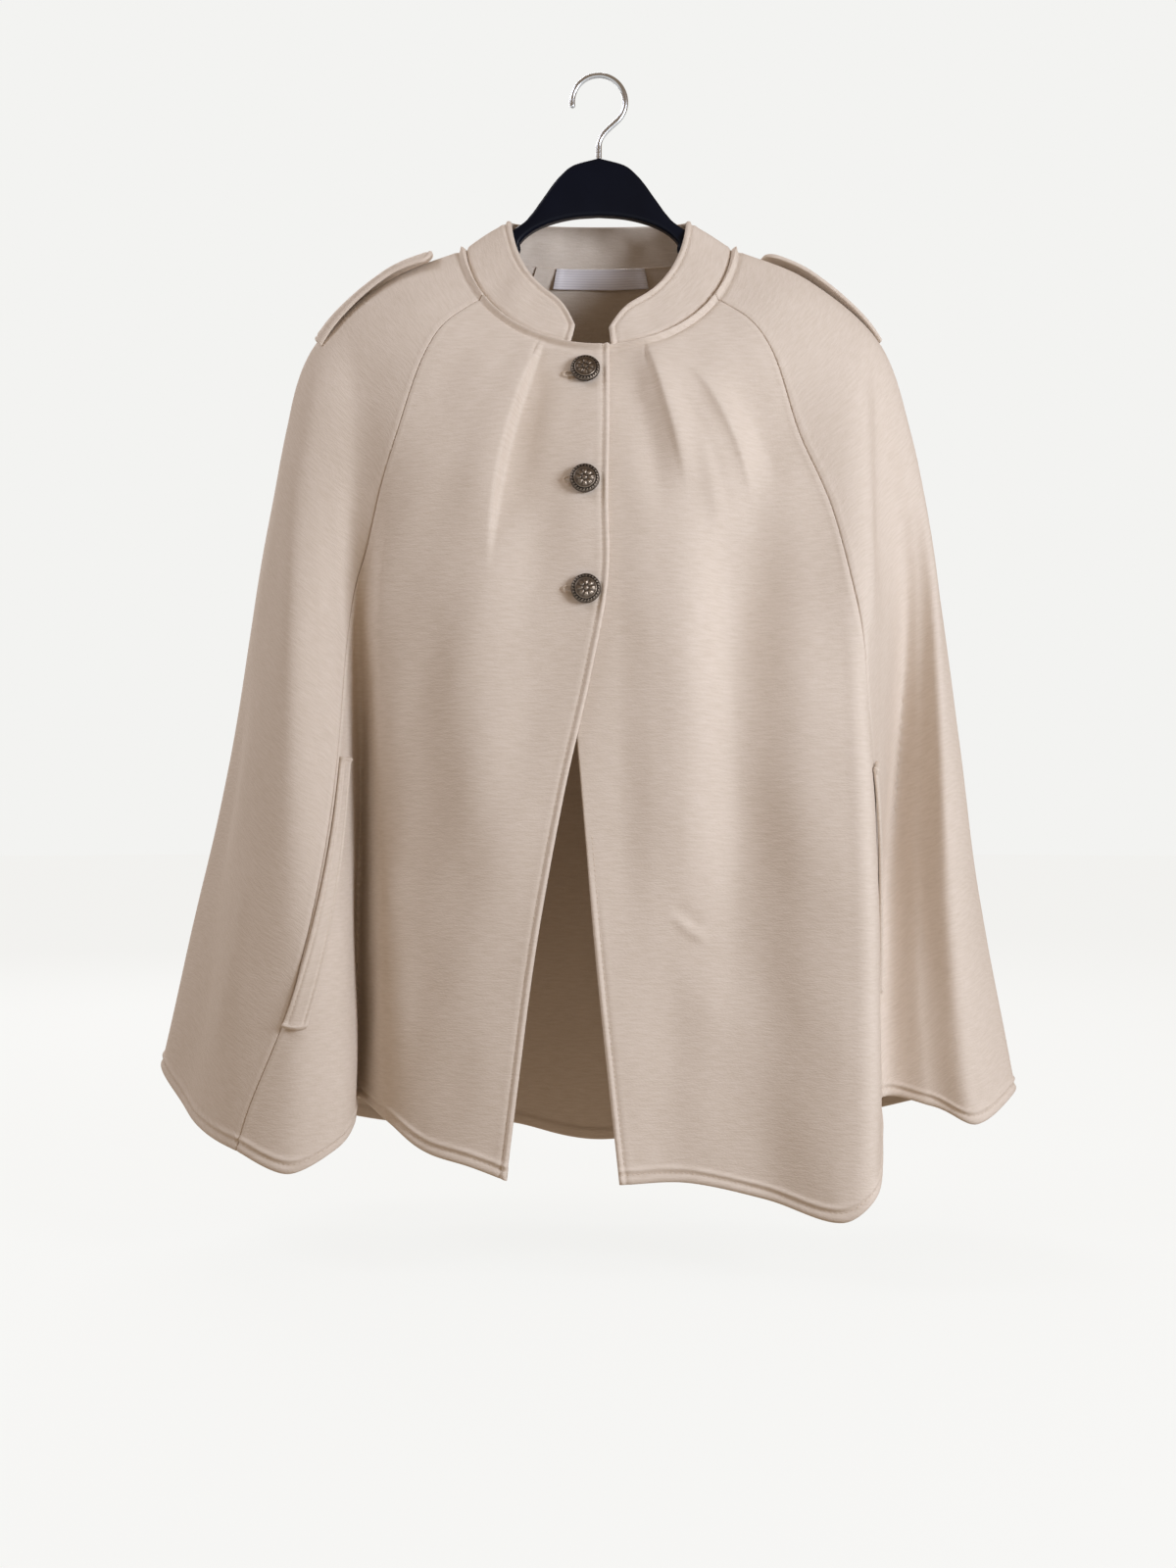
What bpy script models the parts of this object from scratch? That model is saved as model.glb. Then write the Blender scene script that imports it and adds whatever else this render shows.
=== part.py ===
"""Cape jacket of thick knit, buttoned at the neck, on a plain hanger.

Sizes are in millimetres and are turned into metres where the meshes are made. The origin is
the point where a rail carries the hook, +Z is up, and the jacket's front faces -Y. Left and
right are the wearer's, so the right front is at -X.

The cloth is one form. A place runs round it and a share runs down it from neck to hem:
0 right front edge, 1 right front raglan seam, 2 right back raglan seam, 3 centre back,
4 left back raglan seam, 5 left front raglan seam, 6 left front edge.
"""

import math
from collections import namedtuple

import bmesh
import bpy
from mathutils import Matrix, Vector

MM = 0.001

CLOTH = 2.0
SEAM_GAP = 0.3
SEAM_TWIST = 5.0
OVERLAP_TUCK = 3.3

COLLAR_CLOTH = 2.6
COLLAR_PLACES = (0.265, 5.74)
COLLAR_CORNER = 20.0

EPAULETTE_CLOTH = 2.6
EPAULETTE_LIFT = 6.0
WELT_CLOTH = 2.4
WELT_SHARE = 0.06
SLIT_TOP = 0.575
SLIT_FOOT = 0.85

BUTTON_ACROSS = 20.0
BUTTON_DOME = 4.6
BUTTON_RIM = 1.6
BUTTON_STANDOFF = 1.6
SHANK_ACROSS = 3.6
BUTTON_DROPS = (222.0, 299.0, 372.0)
BUTTON_X = -9.5
BUTTONHOLE = (19.0, 5.0)
BUTTONHOLE_SHIFT = -5.5

LABEL = (65.0, 14.5)
LABEL_CLOTH = 1.0
LOOP = (10.0, 26.0)
LOOP_X = -41.0

HANGER_THICK = 12.0
HANGER_BEVEL = 3.0
HANGER_TOP = 58.0
HANGER_ARCH = (59.0, 28.0)
HANGER_ARCH_TOP = 99.0
ARM_DEEP = (24.0, 16.0)
ARM_END = (9.0, 1.0)
# The hanger's dome, a row for each point from its top to the arm: half width and drop.
DOME = ((18, 5), (27, 12), (33, 19), (38, 26), (43, 33), (49, 41), (58, 49))
HOOK_WIRE = 4.0
HOOK_INSIDE = 17.0

# The smooth form, a row for each section from neck to hem. A drop is measured down from the
# rail. The edges are where the two fronts end, and raglan is the seam's turn from the front
# and from the back, in degrees. A low dip makes the ring fall steeply from the shoulder.
Section = namedtuple(
    "Section",
    "share half_width side_drop front_depth front_drop back_depth back_drop dip raglan"
    " right_edge left_edge",
)
SECTIONS = (
    Section(0.00, 95, 122, 60, 201, 45, 126, 0.9, 57, 7, -22),
    Section(0.09, 150, 145, 79, 252, 66, 184, 1.9, 49, 7, -24),
    Section(0.19, 200, 189, 91, 308, 80, 248, 1.9, 43, 6, -26),
    Section(0.29, 222, 254, 98, 365, 88, 312, 1.8, 45, 6, -27),
    Section(0.40, 237, 324, 104, 427, 92, 382, 1.7, 46, -5, -20),
    Section(0.55, 254, 421, 110, 512, 98, 478, 1.5, 47, -24, -12),
    Section(0.75, 277, 549, 119, 625, 104, 606, 1.3, 49, -44, -2),
    Section(1.00, 310, 709, 130, 766, 112, 766, 1.1, 50, -62, 13),
)

# The drape, a row for each ridge, hollow and edge round the hem: its place where it begins and
# at the hem, where the hem hangs there, and the shares at which its depth begins and is full
# grown. The hem's moves to the side and down grow later, between the two shares of HEM_SWING.
HEM_SWING = (0.36, 1.0)
Fold = namedtuple("Fold", "name top hem x y drop start full")
FOLDS = (
    Fold("right front edge", 0.00, 0.00, -62, -122, 766, 0.40, 1.00),
    Fold("right swell", 0.34, 0.13, -88, -113, 758, 0.30, 1.00),
    Fold("right face", 0.70, 0.30, -118, -97, 751, 0.17, 0.70),
    Fold("right recess wall", 0.98, 0.50, -146, -72, 734, 0.17, 0.70),
    Fold("right recess", 1.10, 0.62, -170, -26, 724, 0.17, 0.70),
    Fold("right ridge, inner side", 1.17, 0.73, -168, -64, 738, 0.17, 0.70),
    Fold("right ridge", 1.23, 0.81, -177, -92, 750, 0.17, 0.70),
    Fold("right flap", 1.30, 0.90, -208, -108, 764, 0.17, 0.70),
    Fold("right slit seam", 1.38, 1.00, -245, -88, 752, 0.17, 0.70),
    Fold("right flap, side", 1.48, 1.30, -293, -14, 734, 0.20, 0.75),
    Fold("right side", 1.57, 1.55, -319, 35, 710, 0.26, 0.60),
    Fold("right side, rear", 1.78, 1.78, -303, 78, 710, 0.30, 1.00),
    Fold("right back seam", 2.00, 2.00, -270, 102, 730, 0.30, 1.00),
    Fold("back ridge 1", 2.22, 2.20, -212, 130, 754, 0.30, 1.00),
    Fold("back hollow 1", 2.45, 2.42, -150, 100, 760, 0.34, 1.00),
    Fold("back ridge 2", 2.72, 2.68, -75, 132, 764, 0.26, 1.00),
    Fold("back centre", 3.00, 3.00, 0, 104, 774, 0.38, 1.00),
    Fold("back ridge 3", 3.28, 3.30, 80, 130, 766, 0.30, 1.00),
    Fold("back hollow 2", 3.54, 3.56, 150, 102, 760, 0.36, 1.00),
    Fold("back ridge 4", 3.78, 3.80, 212, 126, 754, 0.28, 1.00),
    Fold("left back seam", 4.00, 4.00, 262, 98, 738, 0.30, 1.00),
    Fold("left side, rear", 4.22, 4.24, 296, 66, 728, 0.30, 1.00),
    Fold("left side", 4.42, 4.42, 305, 36, 728, 0.26, 0.90),
    Fold("left side ridge", 4.58, 4.68, 269, -18, 744, 0.20, 0.80),
    Fold("left recess, rear", 4.66, 4.88, 235, -5, 733, 0.20, 0.75),
    Fold("left slit seam", 4.72, 5.00, 203, 5, 729, 0.20, 0.75),
    Fold("left fold, inner side", 4.78, 5.16, 193, -72, 749, 0.20, 0.70),
    Fold("left fold", 4.85, 5.30, 180, -152, 770, 0.20, 0.70),
    Fold("left crest", 4.95, 5.42, 156, -162, 786, 0.20, 0.70),
    Fold("left face", 5.42, 5.66, 108, -134, 776, 0.24, 0.65),
    Fold("left hollow", 5.70, 5.84, 58, -124, 767, 0.34, 0.95),
    Fold("left front edge", 6.00, 6.00, 13, -126, 768, 0.50, 1.00),
)

# The pleats sewn shut at the neck: each is a groove that opens below its stitches and fades.
Pleat = namedtuple("Pleat", "name top end opens deepest fades depth half_width")
PLEATS = (
    Pleat("right pleat", 0.51, 0.42, 0.00, 0.14, 0.42, 6.0, 0.13),
    Pleat("left pleat", 5.53, 5.60, 0.00, 0.13, 0.36, 8.0, 0.13),
)

ROWS = (
    0.0, 0.035, 0.07, 0.11, 0.15, 0.19, 0.225, 0.26, 0.29, 0.32, 0.35, 0.38, 0.41, 0.44, 0.48,
    0.53, SLIT_TOP, 0.63, 0.685, 0.74, 0.795, SLIT_FOOT, 0.925, 1.0,
)
FRONT_COLUMNS = 15
SIDE_COLUMNS = 14
BACK_COLUMNS = 26
EPAULETTE_COLUMNS = {"right": (5, 9), "left": (3, 7)}
EPAULETTE_ROWS = (1, 5)


def ease(start, full, value):
    """Smooth rise from 0 at start to 1 at full."""
    t = min(1.0, max(0.0, (value - start) / (full - start)))
    return t * t * (3.0 - 2.0 * t)


def through(knots, values, at):
    """Smooth curve through values at knots, its slopes taken from the neighbours."""
    last = len(knots) - 1
    i = 0
    while i < last - 1 and at > knots[i + 1]:
        i += 1

    def slope(k):
        low = max(0, k - 1)
        high = min(last, k + 1)
        return (values[high] - values[low]) / (knots[high] - knots[low])

    span = knots[i + 1] - knots[i]
    t = (at - knots[i]) / span
    return (
        (2 * t**3 - 3 * t**2 + 1) * values[i]
        + (t**3 - 2 * t**2 + t) * span * slope(i)
        + (3 * t**2 - 2 * t**3) * values[i + 1]
        + (t**3 - t**2) * span * slope(i + 1)
    )


SHARES = [row.share for row in SECTIONS]
COLUMNS = list(zip(*SECTIONS))


def section(share):
    return Section(*(through(SHARES, column, share) for column in COLUMNS))


def turn_of(place, at):
    """Turn from the centre front at a place, in radians, growing towards the left."""
    right = math.degrees(math.asin(at.right_edge / at.half_width))
    left = math.degrees(math.asin(at.left_edge / at.half_width))
    stations = (
        right, -at.raglan, at.raglan - 180, -180,
        -180 - at.raglan, at.raglan - 360, left - 360,
    )
    i = min(5, max(0, int(place)))
    return math.radians(stations[i] + (place - i) * (stations[i + 1] - stations[i]))


def smooth_form(place, share):
    """Point of the form before it is folded, and its level outward direction."""
    at = section(share)
    turn = turn_of(place, at)
    cosine = math.cos(turn)
    depth, drop = (
        (at.front_depth, at.front_drop) if cosine > 0 else (at.back_depth, at.back_drop)
    )
    soft = 0.02
    low = soft ** (at.dip / 2)
    fall = ((cosine**2 + soft) ** (at.dip / 2) - low) / ((1 + soft) ** (at.dip / 2) - low)
    point = Vector((
        at.half_width * math.sin(turn),
        -depth * cosine,
        -(at.side_drop + (drop - at.side_drop) * fall),
    ))
    out = Vector((math.sin(turn) / at.half_width, -cosine / depth, 0.0)).normalized()
    return point, out


HEM_SHIFTS = [
    Vector((fold.x, fold.y, -fold.drop)) - smooth_form(fold.hem, 1.0)[0] for fold in FOLDS
]


def drape(place, share):
    """How far the folds move the form."""
    knots = []
    shifts = []
    for fold, shift in zip(FOLDS, HEM_SHIFTS):
        along = min(1.0, max(0.0, (share - fold.start) / (1.0 - fold.start)))
        knots.append(fold.top + (fold.hem - fold.top) * along)
        deep = ease(fold.start, fold.full, share)
        swing = ease(*HEM_SWING, share)
        shifts.append(Vector((shift.x * swing, shift.y * deep, shift.z * swing)))
    return Vector([through(knots, [s[axis] for s in shifts], place) for axis in range(3)])


def pleated(place, share):
    """Depth of the pleats below the form."""
    deep = 0.0
    for pleat in PLEATS:
        if pleat.opens < share < pleat.fades:
            along = (share - pleat.opens) / (pleat.fades - pleat.opens)
            middle = pleat.top + (pleat.end - pleat.top) * along
            across = max(0.0, 1.0 - abs(place - middle) / pleat.half_width)
            grown = ease(pleat.opens, pleat.deepest, share)
            fading = 1.0 - ease(pleat.deepest, pleat.fades, share)
            deep += pleat.depth * across**1.5 * grown * fading
    return deep


def tucked(x, share):
    """Depth of the left front's edge below the right front."""
    return OVERLAP_TUCK * (1.0 - ease(12, 36, x)) * (1.0 - ease(0.60, 0.74, share))


def form(place, share):
    point, out = smooth_form(place, share)
    inward = pleated(place, share)
    if place > 5.0:
        inward += tucked(point.x, share)
    return point + drape(place, share) - out * inward


def outward(place, share):
    """Outward normal of the form."""
    step = 0.004
    low = max(0.0, place - step)
    high = min(6.0, place + step)
    up = max(0.0, share - step)
    down = min(1.0, share + step)
    across = form(high, share) - form(low, share)
    along = form(place, down) - form(place, up)
    return across.cross(along).normalized()


def material(name, colour, roughness, metallic=0.0):
    made = bpy.data.materials.new(name)
    made.use_nodes = True
    shader = made.node_tree.nodes["Principled BSDF"]
    shader.inputs["Base Color"].default_value = (*colour, 1.0)
    shader.inputs["Roughness"].default_value = roughness
    shader.inputs["Metallic"].default_value = metallic
    return made


def finish(name, bm, surface, smooth_below=35):
    """Turn a bmesh in millimetres into the object, in metres."""
    bmesh.ops.scale(bm, vec=(MM, MM, MM), verts=bm.verts)
    bmesh.ops.recalc_face_normals(bm, faces=bm.faces)
    mesh = bpy.data.meshes.new(name)
    bm.to_mesh(mesh)
    bm.free()
    mesh.shade_smooth()
    mesh.set_sharp_from_angle(angle=math.radians(smooth_below))
    mesh.materials.append(surface)
    made = bpy.data.objects.new(name, mesh)
    bpy.context.scene.collection.objects.link(made)
    return made


def wall(name, outer, inner, surface):
    """Closed wall between two equal grids of points, each a list of columns."""
    across = len(outer) - 1
    down = len(outer[0]) - 1
    bm = bmesh.new()
    bmesh.ops.create_grid(bm, x_segments=across, y_segments=down, size=0.5)
    column = bm.verts.layers.int.new("column")
    row = bm.verts.layers.int.new("row")
    for vert in bm.verts:
        vert[column] = round((vert.co.x + 0.5) * across)
        vert[row] = round((vert.co.y + 0.5) * down)
    made = bmesh.ops.extrude_face_region(bm, geom=bm.faces[:], use_keep_orig=True)
    inside = {item for item in made["geom"] if isinstance(item, bmesh.types.BMVert)}
    for vert in bm.verts:
        points = inner if vert in inside else outer
        vert.co = points[vert[column]][vert[row]]
    return finish(name, bm, surface)


def even(start, stop, steps):
    return [start + (stop - start) * i / steps for i in range(steps + 1)]


def seam_side(place, share, way):
    """Place half a seam gap inside a seam, towards the panel, and more where the seam twists."""
    step = 0.002 * way
    speed = (form(place + step, share) - form(place, share)).length / 0.002
    above = outward(place, max(0.0, share - 0.015))
    below = outward(place, min(1.0, share + 0.015))
    gap = SEAM_GAP * (1.0 + SEAM_TWIST * above.angle(below))
    return place + way * gap / 2 / speed


def cloth(name, places, surface):
    """Panel of the form, its side edges half a seam gap inside the seams."""
    outer = []
    inner = []
    for i, place in enumerate(places):
        way = (i == 0) - (i == len(places) - 1)
        column = [seam_side(place, share, way) if way else place for share in ROWS]
        outer.append([form(at, share) for at, share in zip(column, ROWS)])
        inner.append([
            point - outward(at, share) * CLOTH
            for at, share, point in zip(column, ROWS, outer[-1])
        ])
    return wall(name, outer, inner, surface)


def on_facets(columns, place, share):
    """Point and outward normal on a panel's flat facets, between two of its columns."""
    i = 0
    while i < len(columns) - 2 and place > columns[i + 1]:
        i += 1
    low, high = columns[i], columns[i + 1]
    part = (place - low) / (high - low)
    point = form(low, share).lerp(form(high, share), part)
    return point, outward(low, share).lerp(outward(high, share), part).normalized()


def laid_on(name, columns, places, shares, gaps, thick, surface):
    """Strip that lies on a panel, its gap below it given for each share."""
    outer = []
    inner = []
    for place in places:
        points = [on_facets(columns, place, share) for share in shares]
        inner.append([point + out * gap for (point, out), gap in zip(points, gaps)])
        outer.append([point + out * (gap + thick) for (point, out), gap in zip(points, gaps)])
    return wall(name, outer, inner, surface)


def collar(panel_places, surface):
    """Stand collar from the neck seam up, its free corners rounded."""
    rises = 3
    low, high = COLLAR_PLACES
    places = [low] + [p for p in panel_places if low + 0.01 < p < high - 0.01] + [high]
    top = Section(0, 63, 102, 44, 172, 38, 97, 0.9, 57, 7, -22)
    height = 36.0
    outer = []
    inner = []
    for place in places:
        foot = form(place, 0.0)
        foot_out = outward(place, 0.0)
        turn = turn_of(place, section(0.0))
        cosine = math.cos(turn)
        depth, drop = (
            (top.front_depth, top.front_drop) if cosine > 0 else (top.back_depth, top.back_drop)
        )
        fall = (abs(cosine) ** 2 + 0.02) ** 0.45 - 0.02**0.45
        fall /= 1.02**0.45 - 0.02**0.45
        edge = Vector((
            top.half_width * math.sin(turn),
            -depth * cosine,
            -(top.side_drop + (drop - top.side_drop) * fall),
        ))
        from_end = min(place - low, high - place) * 88.0
        short = max(0.0, COLLAR_CORNER - from_end)
        rise = 1.0 - (COLLAR_CORNER - math.sqrt(COLLAR_CORNER**2 - short**2)) / height
        lean = (edge - foot).normalized()
        start = foot + lean * SEAM_GAP
        along = Vector((math.cos(turn) * 95.0, depth * math.sin(turn), 0.0)).normalized()
        out = lean.cross(along).normalized()
        if out.dot(foot_out) < 0:
            out.negate()
        outer_column = []
        inner_column = []
        for i in range(rises + 1):
            part = i / rises
            point = start.lerp(edge, part * rise)
            normal = foot_out.lerp(out, min(1.0, part * 2)).normalized()
            outer_column.append(point)
            inner_column.append(point - normal * COLLAR_CLOTH)
        outer.append(outer_column)
        inner.append(inner_column)
    return wall("collar", outer, inner, surface)


def front_place(x, drop, start, end):
    """Place and share of the point of a front at x and a drop."""
    low = 0.0
    high = 0.7
    for _ in range(40):
        share = (low + high) / 2
        near = start
        far = end
        for _ in range(40):
            place = (near + far) / 2
            if (form(place, share).x > x) == (form(start, share).x > form(end, share).x):
                near = place
            else:
                far = place
        if -form(place, share).z < drop:
            low = share
        else:
            high = share
    return place, share


def facing(point, out):
    """Matrix that turns +Z to a direction and moves the origin to a point."""
    return Matrix.Translation(point) @ out.to_track_quat("Z", "Y").to_matrix().to_4x4()


def button(name, drop, surface):
    """Domed button on a shank that passes the right front to the left front."""
    place, share = front_place(BUTTON_X, drop, 0.0, 1.0)
    at = form(place, share)
    out = outward(place, share)
    radius = BUTTON_ACROSS / 2
    low = SEAM_GAP - OVERLAP_TUCK + 0.2
    steps = 5
    profile = [(0.0, low), (SHANK_ACROSS / 2, low), (SHANK_ACROSS / 2, BUTTON_STANDOFF)]
    profile += [(radius - 0.8, BUTTON_STANDOFF), (radius, BUTTON_STANDOFF + 0.8)]
    profile.append((radius, BUTTON_STANDOFF + BUTTON_RIM))
    for i in range(1, steps + 1):
        angle = math.pi / 2 * i / steps
        rise = BUTTON_STANDOFF + BUTTON_RIM + (BUTTON_DOME - BUTTON_RIM) * math.sin(angle)
        profile.append((radius * math.cos(angle), rise))
    bm = bmesh.new()
    verts = [bm.verts.new((x, 0.0, z)) for x, z in profile]
    edges = [bm.edges.new(pair) for pair in zip(verts, verts[1:])]
    bmesh.ops.spin(
        bm, geom=verts + edges, axis=(0, 0, 1), cent=(0, 0, 0),
        angle=math.tau, steps=28, use_merge=True,
    )
    bmesh.ops.remove_doubles(bm, verts=bm.verts, dist=0.001)
    bmesh.ops.transform(bm, matrix=facing(at, out), verts=bm.verts)
    return finish(name, bm, surface)


def cut_buttonhole(panel, drop):
    """Level slot in the right front behind a button."""
    place, share = front_place(BUTTON_X + BUTTONHOLE_SHIFT, drop, 0.0, 1.0)
    long, tall = BUTTONHOLE
    bm = bmesh.new()
    bmesh.ops.create_cube(bm, size=1.0)
    bmesh.ops.scale(bm, vec=(long, tall, 12.0), verts=bm.verts)
    where = facing(form(place, share), outward(place, share))
    bmesh.ops.transform(bm, matrix=where, verts=bm.verts)
    cutter = finish("cutter", bm, panel.data.materials[0])
    bpy.context.view_layer.objects.active = panel
    cut = panel.modifiers.new("buttonhole", "BOOLEAN")
    cut.object = cutter
    cut.operation = "DIFFERENCE"
    cut.solver = "EXACT"
    bpy.ops.object.modifier_apply(modifier=cut.name)
    bpy.data.objects.remove(cutter)


def back_strip(name, middle, size, thick, surface):
    """Strip that hangs from the neck seam inside the back."""
    wide, long = size
    at_neck = section(0.0)
    places = []
    for x in even(middle - wide / 2, middle + wide / 2, 8):
        turn = math.degrees(math.asin(x / at_neck.half_width))
        places.append(3.0 + turn / (180 - (180 - at_neck.raglan)))
    outer = []
    inner = []
    for place in places:
        top = form(place, 0.0)
        below = form(place, ROWS[1])
        out = outward(place, 0.0)
        foot = top + (below - top).normalized() * long
        near = out * (CLOTH + 0.7)
        far = out * (CLOTH + 0.7 + thick)
        outer.append([top - near, foot - near])
        inner.append([top - far, foot - far])
    return wall(name, outer, inner, surface)


def arm_line(side):
    """The arm's top edge just inside the shoulder, from below the collar to its end."""
    place = 1.5 if side < 0 else 4.5
    neck = section(0.0)
    line = [(side * neck.half_width, -neck.side_drop - 7.0)]
    for share in ROWS[1:6]:
        clear = CLOTH + 0.8 + 4.0 * (1.0 - ease(0.0, 0.08, share))
        inside = form(place, share) - outward(place, share) * clear
        line.append((inside.x, inside.z))
    return line


def hanger_half(side):
    """Outline of one half, from the top of the dome round the arm's end to the arch."""
    arm = arm_line(side)
    end_x, end_z = arm[-1]
    end_drop, end_in = ARM_END
    arch_half, arch_rise = HANGER_ARCH
    outline = [(side * x, -HANGER_TOP - drop) for x, drop in DOME] + arm
    outline.append((end_x - side * end_in, end_z - end_drop))
    for i, (x, z) in enumerate(arm[-2::-1]):
        deep = ARM_DEEP[1] + (ARM_DEEP[0] - ARM_DEEP[1]) * (i + 1) / len(arm)
        outline.append((x, z - deep))
    for i in range(5):
        angle = math.pi / 2 * i / 5
        rise = arch_rise * (1.0 - math.sin(angle))
        outline.append((side * arch_half * math.cos(angle), -HANGER_ARCH_TOP - rise))
    return outline


def hanger(surface):
    """Flat hanger with a domed middle and arms that follow the shoulders."""
    left = hanger_half(1)
    right = hanger_half(-1)
    loop = [(0.0, -HANGER_TOP)] + left + [(0.0, -HANGER_ARCH_TOP)] + right[::-1]
    bm = bmesh.new()
    half = HANGER_THICK / 2
    face = bm.faces.new([bm.verts.new((x, half, z)) for x, z in loop])
    made = bmesh.ops.extrude_face_region(bm, geom=[face], use_keep_orig=True)
    moved = [item for item in made["geom"] if isinstance(item, bmesh.types.BMVert)]
    bmesh.ops.translate(bm, vec=(0, -HANGER_THICK, 0), verts=moved)
    rims = [edge for edge in bm.edges if abs(edge.verts[0].co.y - edge.verts[1].co.y) < 0.1]
    bmesh.ops.bevel(
        bm, geom=rims, offset=HANGER_BEVEL, offset_type="OFFSET", segments=2, profile=0.5,
        affect="EDGES", material=-1, clamp_overlap=True,
    )
    bmesh.ops.triangulate(bm, faces=[f for f in bm.faces if len(f.verts) > 4])
    return finish("hanger", bm, surface)


def hook_path():
    """Centreline of the hook, from its shank over the top to its tip."""
    radius = HOOK_INSIDE + HOOK_WIRE / 2
    centre = Vector((0.0, 0.0, -HOOK_INSIDE))
    begin = math.radians(-48)
    arc = []
    for angle in (begin + (math.radians(188) - begin) * i / 26 for i in range(27)):
        arc.append(centre + Vector((math.cos(angle), 0.0, math.sin(angle))) * radius)
    foot = Vector((0.0, 0.0, -HANGER_TOP + SEAM_GAP))
    rise = foot + Vector((0.0, 0.0, 9.0))
    lead = arc[0] - Vector((math.sin(-begin), 0.0, math.cos(begin))) * 9.0
    bend = []
    for i in range(1, 8):
        t = i / 8
        above = rise + Vector((0.0, 0.0, 7.0))
        bend.append(
            rise * (1 - t) ** 3 + above * 3 * t * (1 - t) ** 2
            + lead * 3 * t**2 * (1 - t) + arc[0] * t**3
        )
    return [foot, rise] + bend + arc


def hook(surface):
    """Wire bent to the hook's path."""
    path = hook_path()
    sides = 12
    bm = bmesh.new()
    rings = []
    for i, point in enumerate(path):
        before = path[max(0, i - 1)]
        after = path[min(len(path) - 1, i + 1)]
        forward = (after - before).normalized()
        level = Vector((0.0, 1.0, 0.0))
        across = forward.cross(level).normalized()
        ring = []
        for k in range(sides):
            angle = math.tau * k / sides
            offset = (across * math.cos(angle) + level * math.sin(angle)) * HOOK_WIRE / 2
            ring.append(bm.verts.new(point + offset))
        rings.append([bm.edges.new((ring[k], ring[(k + 1) % sides])) for k in range(sides)])
    for low, high in zip(rings, rings[1:]):
        bmesh.ops.bridge_loops(bm, edges=low + high)
    bmesh.ops.contextual_create(bm, geom=rings[0])
    bmesh.ops.contextual_create(bm, geom=rings[-1])
    return finish("hook", bm, surface)


for old in list(bpy.data.objects):
    bpy.data.objects.remove(old)

KNIT = material("cream knit", (0.62, 0.53, 0.44), 0.95)
BRONZE = material("antique bronze", (0.10, 0.075, 0.055), 0.45, 1.0)
SATIN = material("white satin", (0.80, 0.79, 0.80), 0.6)
PLASTIC = material("black plastic", (0.012, 0.014, 0.024), 0.4)
STEEL = material("steel wire", (0.56, 0.56, 0.57), 0.3, 1.0)

welt_inner = 1.0 - WELT_SHARE
front_places = even(0.0, welt_inner, FRONT_COLUMNS - 1) + [1.0]
side_places = even(1.0, 2.0, SIDE_COLUMNS)
back_places = even(2.0, 4.0, BACK_COLUMNS)
left_side_places = [6.0 - place for place in side_places[::-1]]
left_front_places = [6.0 - place for place in front_places[::-1]]
front_right = cloth("front_right", front_places, KNIT)
cloth("side_right", side_places, KNIT)
cloth("back", back_places, KNIT)
cloth("side_left", left_side_places, KNIT)
cloth("front_left", left_front_places, KNIT)
round_neck = front_places + side_places[1:] + back_places[1:]
collar(round_neck + left_side_places[1:] + left_front_places[1:], KNIT)

tab_shares = ROWS[EPAULETTE_ROWS[0]:EPAULETTE_ROWS[1] + 1]
lifts = [0.6 + EPAULETTE_LIFT * (1.0 - ease(0.035, 0.15, share)) for share in tab_shares]
slit_shares = [share for share in ROWS if SLIT_TOP <= share <= SLIT_FOOT]
level = [0.8] * len(slit_shares)
for side, sides, fronts, welt in (
    ("right", side_places, front_places, (welt_inner + 0.012, 0.996)),
    ("left", left_side_places, left_front_places, (5.004, 5.988 - welt_inner)),
):
    first, last = EPAULETTE_COLUMNS[side]
    tab = sides[first:last + 1]
    laid_on(f"epaulette_{side}", sides, tab, tab_shares, lifts, EPAULETTE_CLOTH, KNIT)
    laid_on(f"welt_{side}", fronts, welt, slit_shares, level, WELT_CLOTH, KNIT)

for number, button_drop in enumerate(BUTTON_DROPS, start=1):
    cut_buttonhole(front_right, button_drop)
    button(f"button_{number}", button_drop, BRONZE)

back_strip("neck_label", 1.5, LABEL, LABEL_CLOTH, SATIN)
back_strip("hang_loop", LOOP_X, LOOP, LABEL_CLOTH, KNIT)
hanger(PLASTIC)
hook(STEEL)
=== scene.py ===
# %% [markdown]
# # A cape jacket of cream knit, on its hanger
# The jacket hangs as it does in a shop: two fronts closed by three buttons, a raglan panel over
# each shoulder, one back, a stand collar and two shoulder tabs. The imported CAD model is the
# frame, so every piece below is made in its coordinates and nothing has to be fitted.
# Sizes are in millimetres, as a maker would write them, and become metres in one place.

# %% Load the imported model
import math
from collections import namedtuple

import bmesh
import bpy
import numpy as np
from mathutils import Matrix, Vector


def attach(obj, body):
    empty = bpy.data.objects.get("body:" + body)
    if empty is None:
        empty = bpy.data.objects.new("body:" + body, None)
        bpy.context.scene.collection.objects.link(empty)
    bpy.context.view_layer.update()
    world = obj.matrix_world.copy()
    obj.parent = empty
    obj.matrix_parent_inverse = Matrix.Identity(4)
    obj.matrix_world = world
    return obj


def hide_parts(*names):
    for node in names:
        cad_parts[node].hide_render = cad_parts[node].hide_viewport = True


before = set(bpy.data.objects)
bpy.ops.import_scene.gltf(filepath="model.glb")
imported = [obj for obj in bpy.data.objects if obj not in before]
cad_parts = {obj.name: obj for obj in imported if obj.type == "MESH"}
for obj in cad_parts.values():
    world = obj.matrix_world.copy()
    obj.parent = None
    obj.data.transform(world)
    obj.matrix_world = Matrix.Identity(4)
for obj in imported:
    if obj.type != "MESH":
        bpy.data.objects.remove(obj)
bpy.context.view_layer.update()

MM = 0.001

# %% [markdown]
# ## The camera
# The picture was taken square to the jacket's front, a little over waist height, with a normal
# lens. A level camera keeps upright lines upright, so it is only moved, not tilted. The
# lens follows from how large the jacket is in a picture 1600 pixels high.

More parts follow.
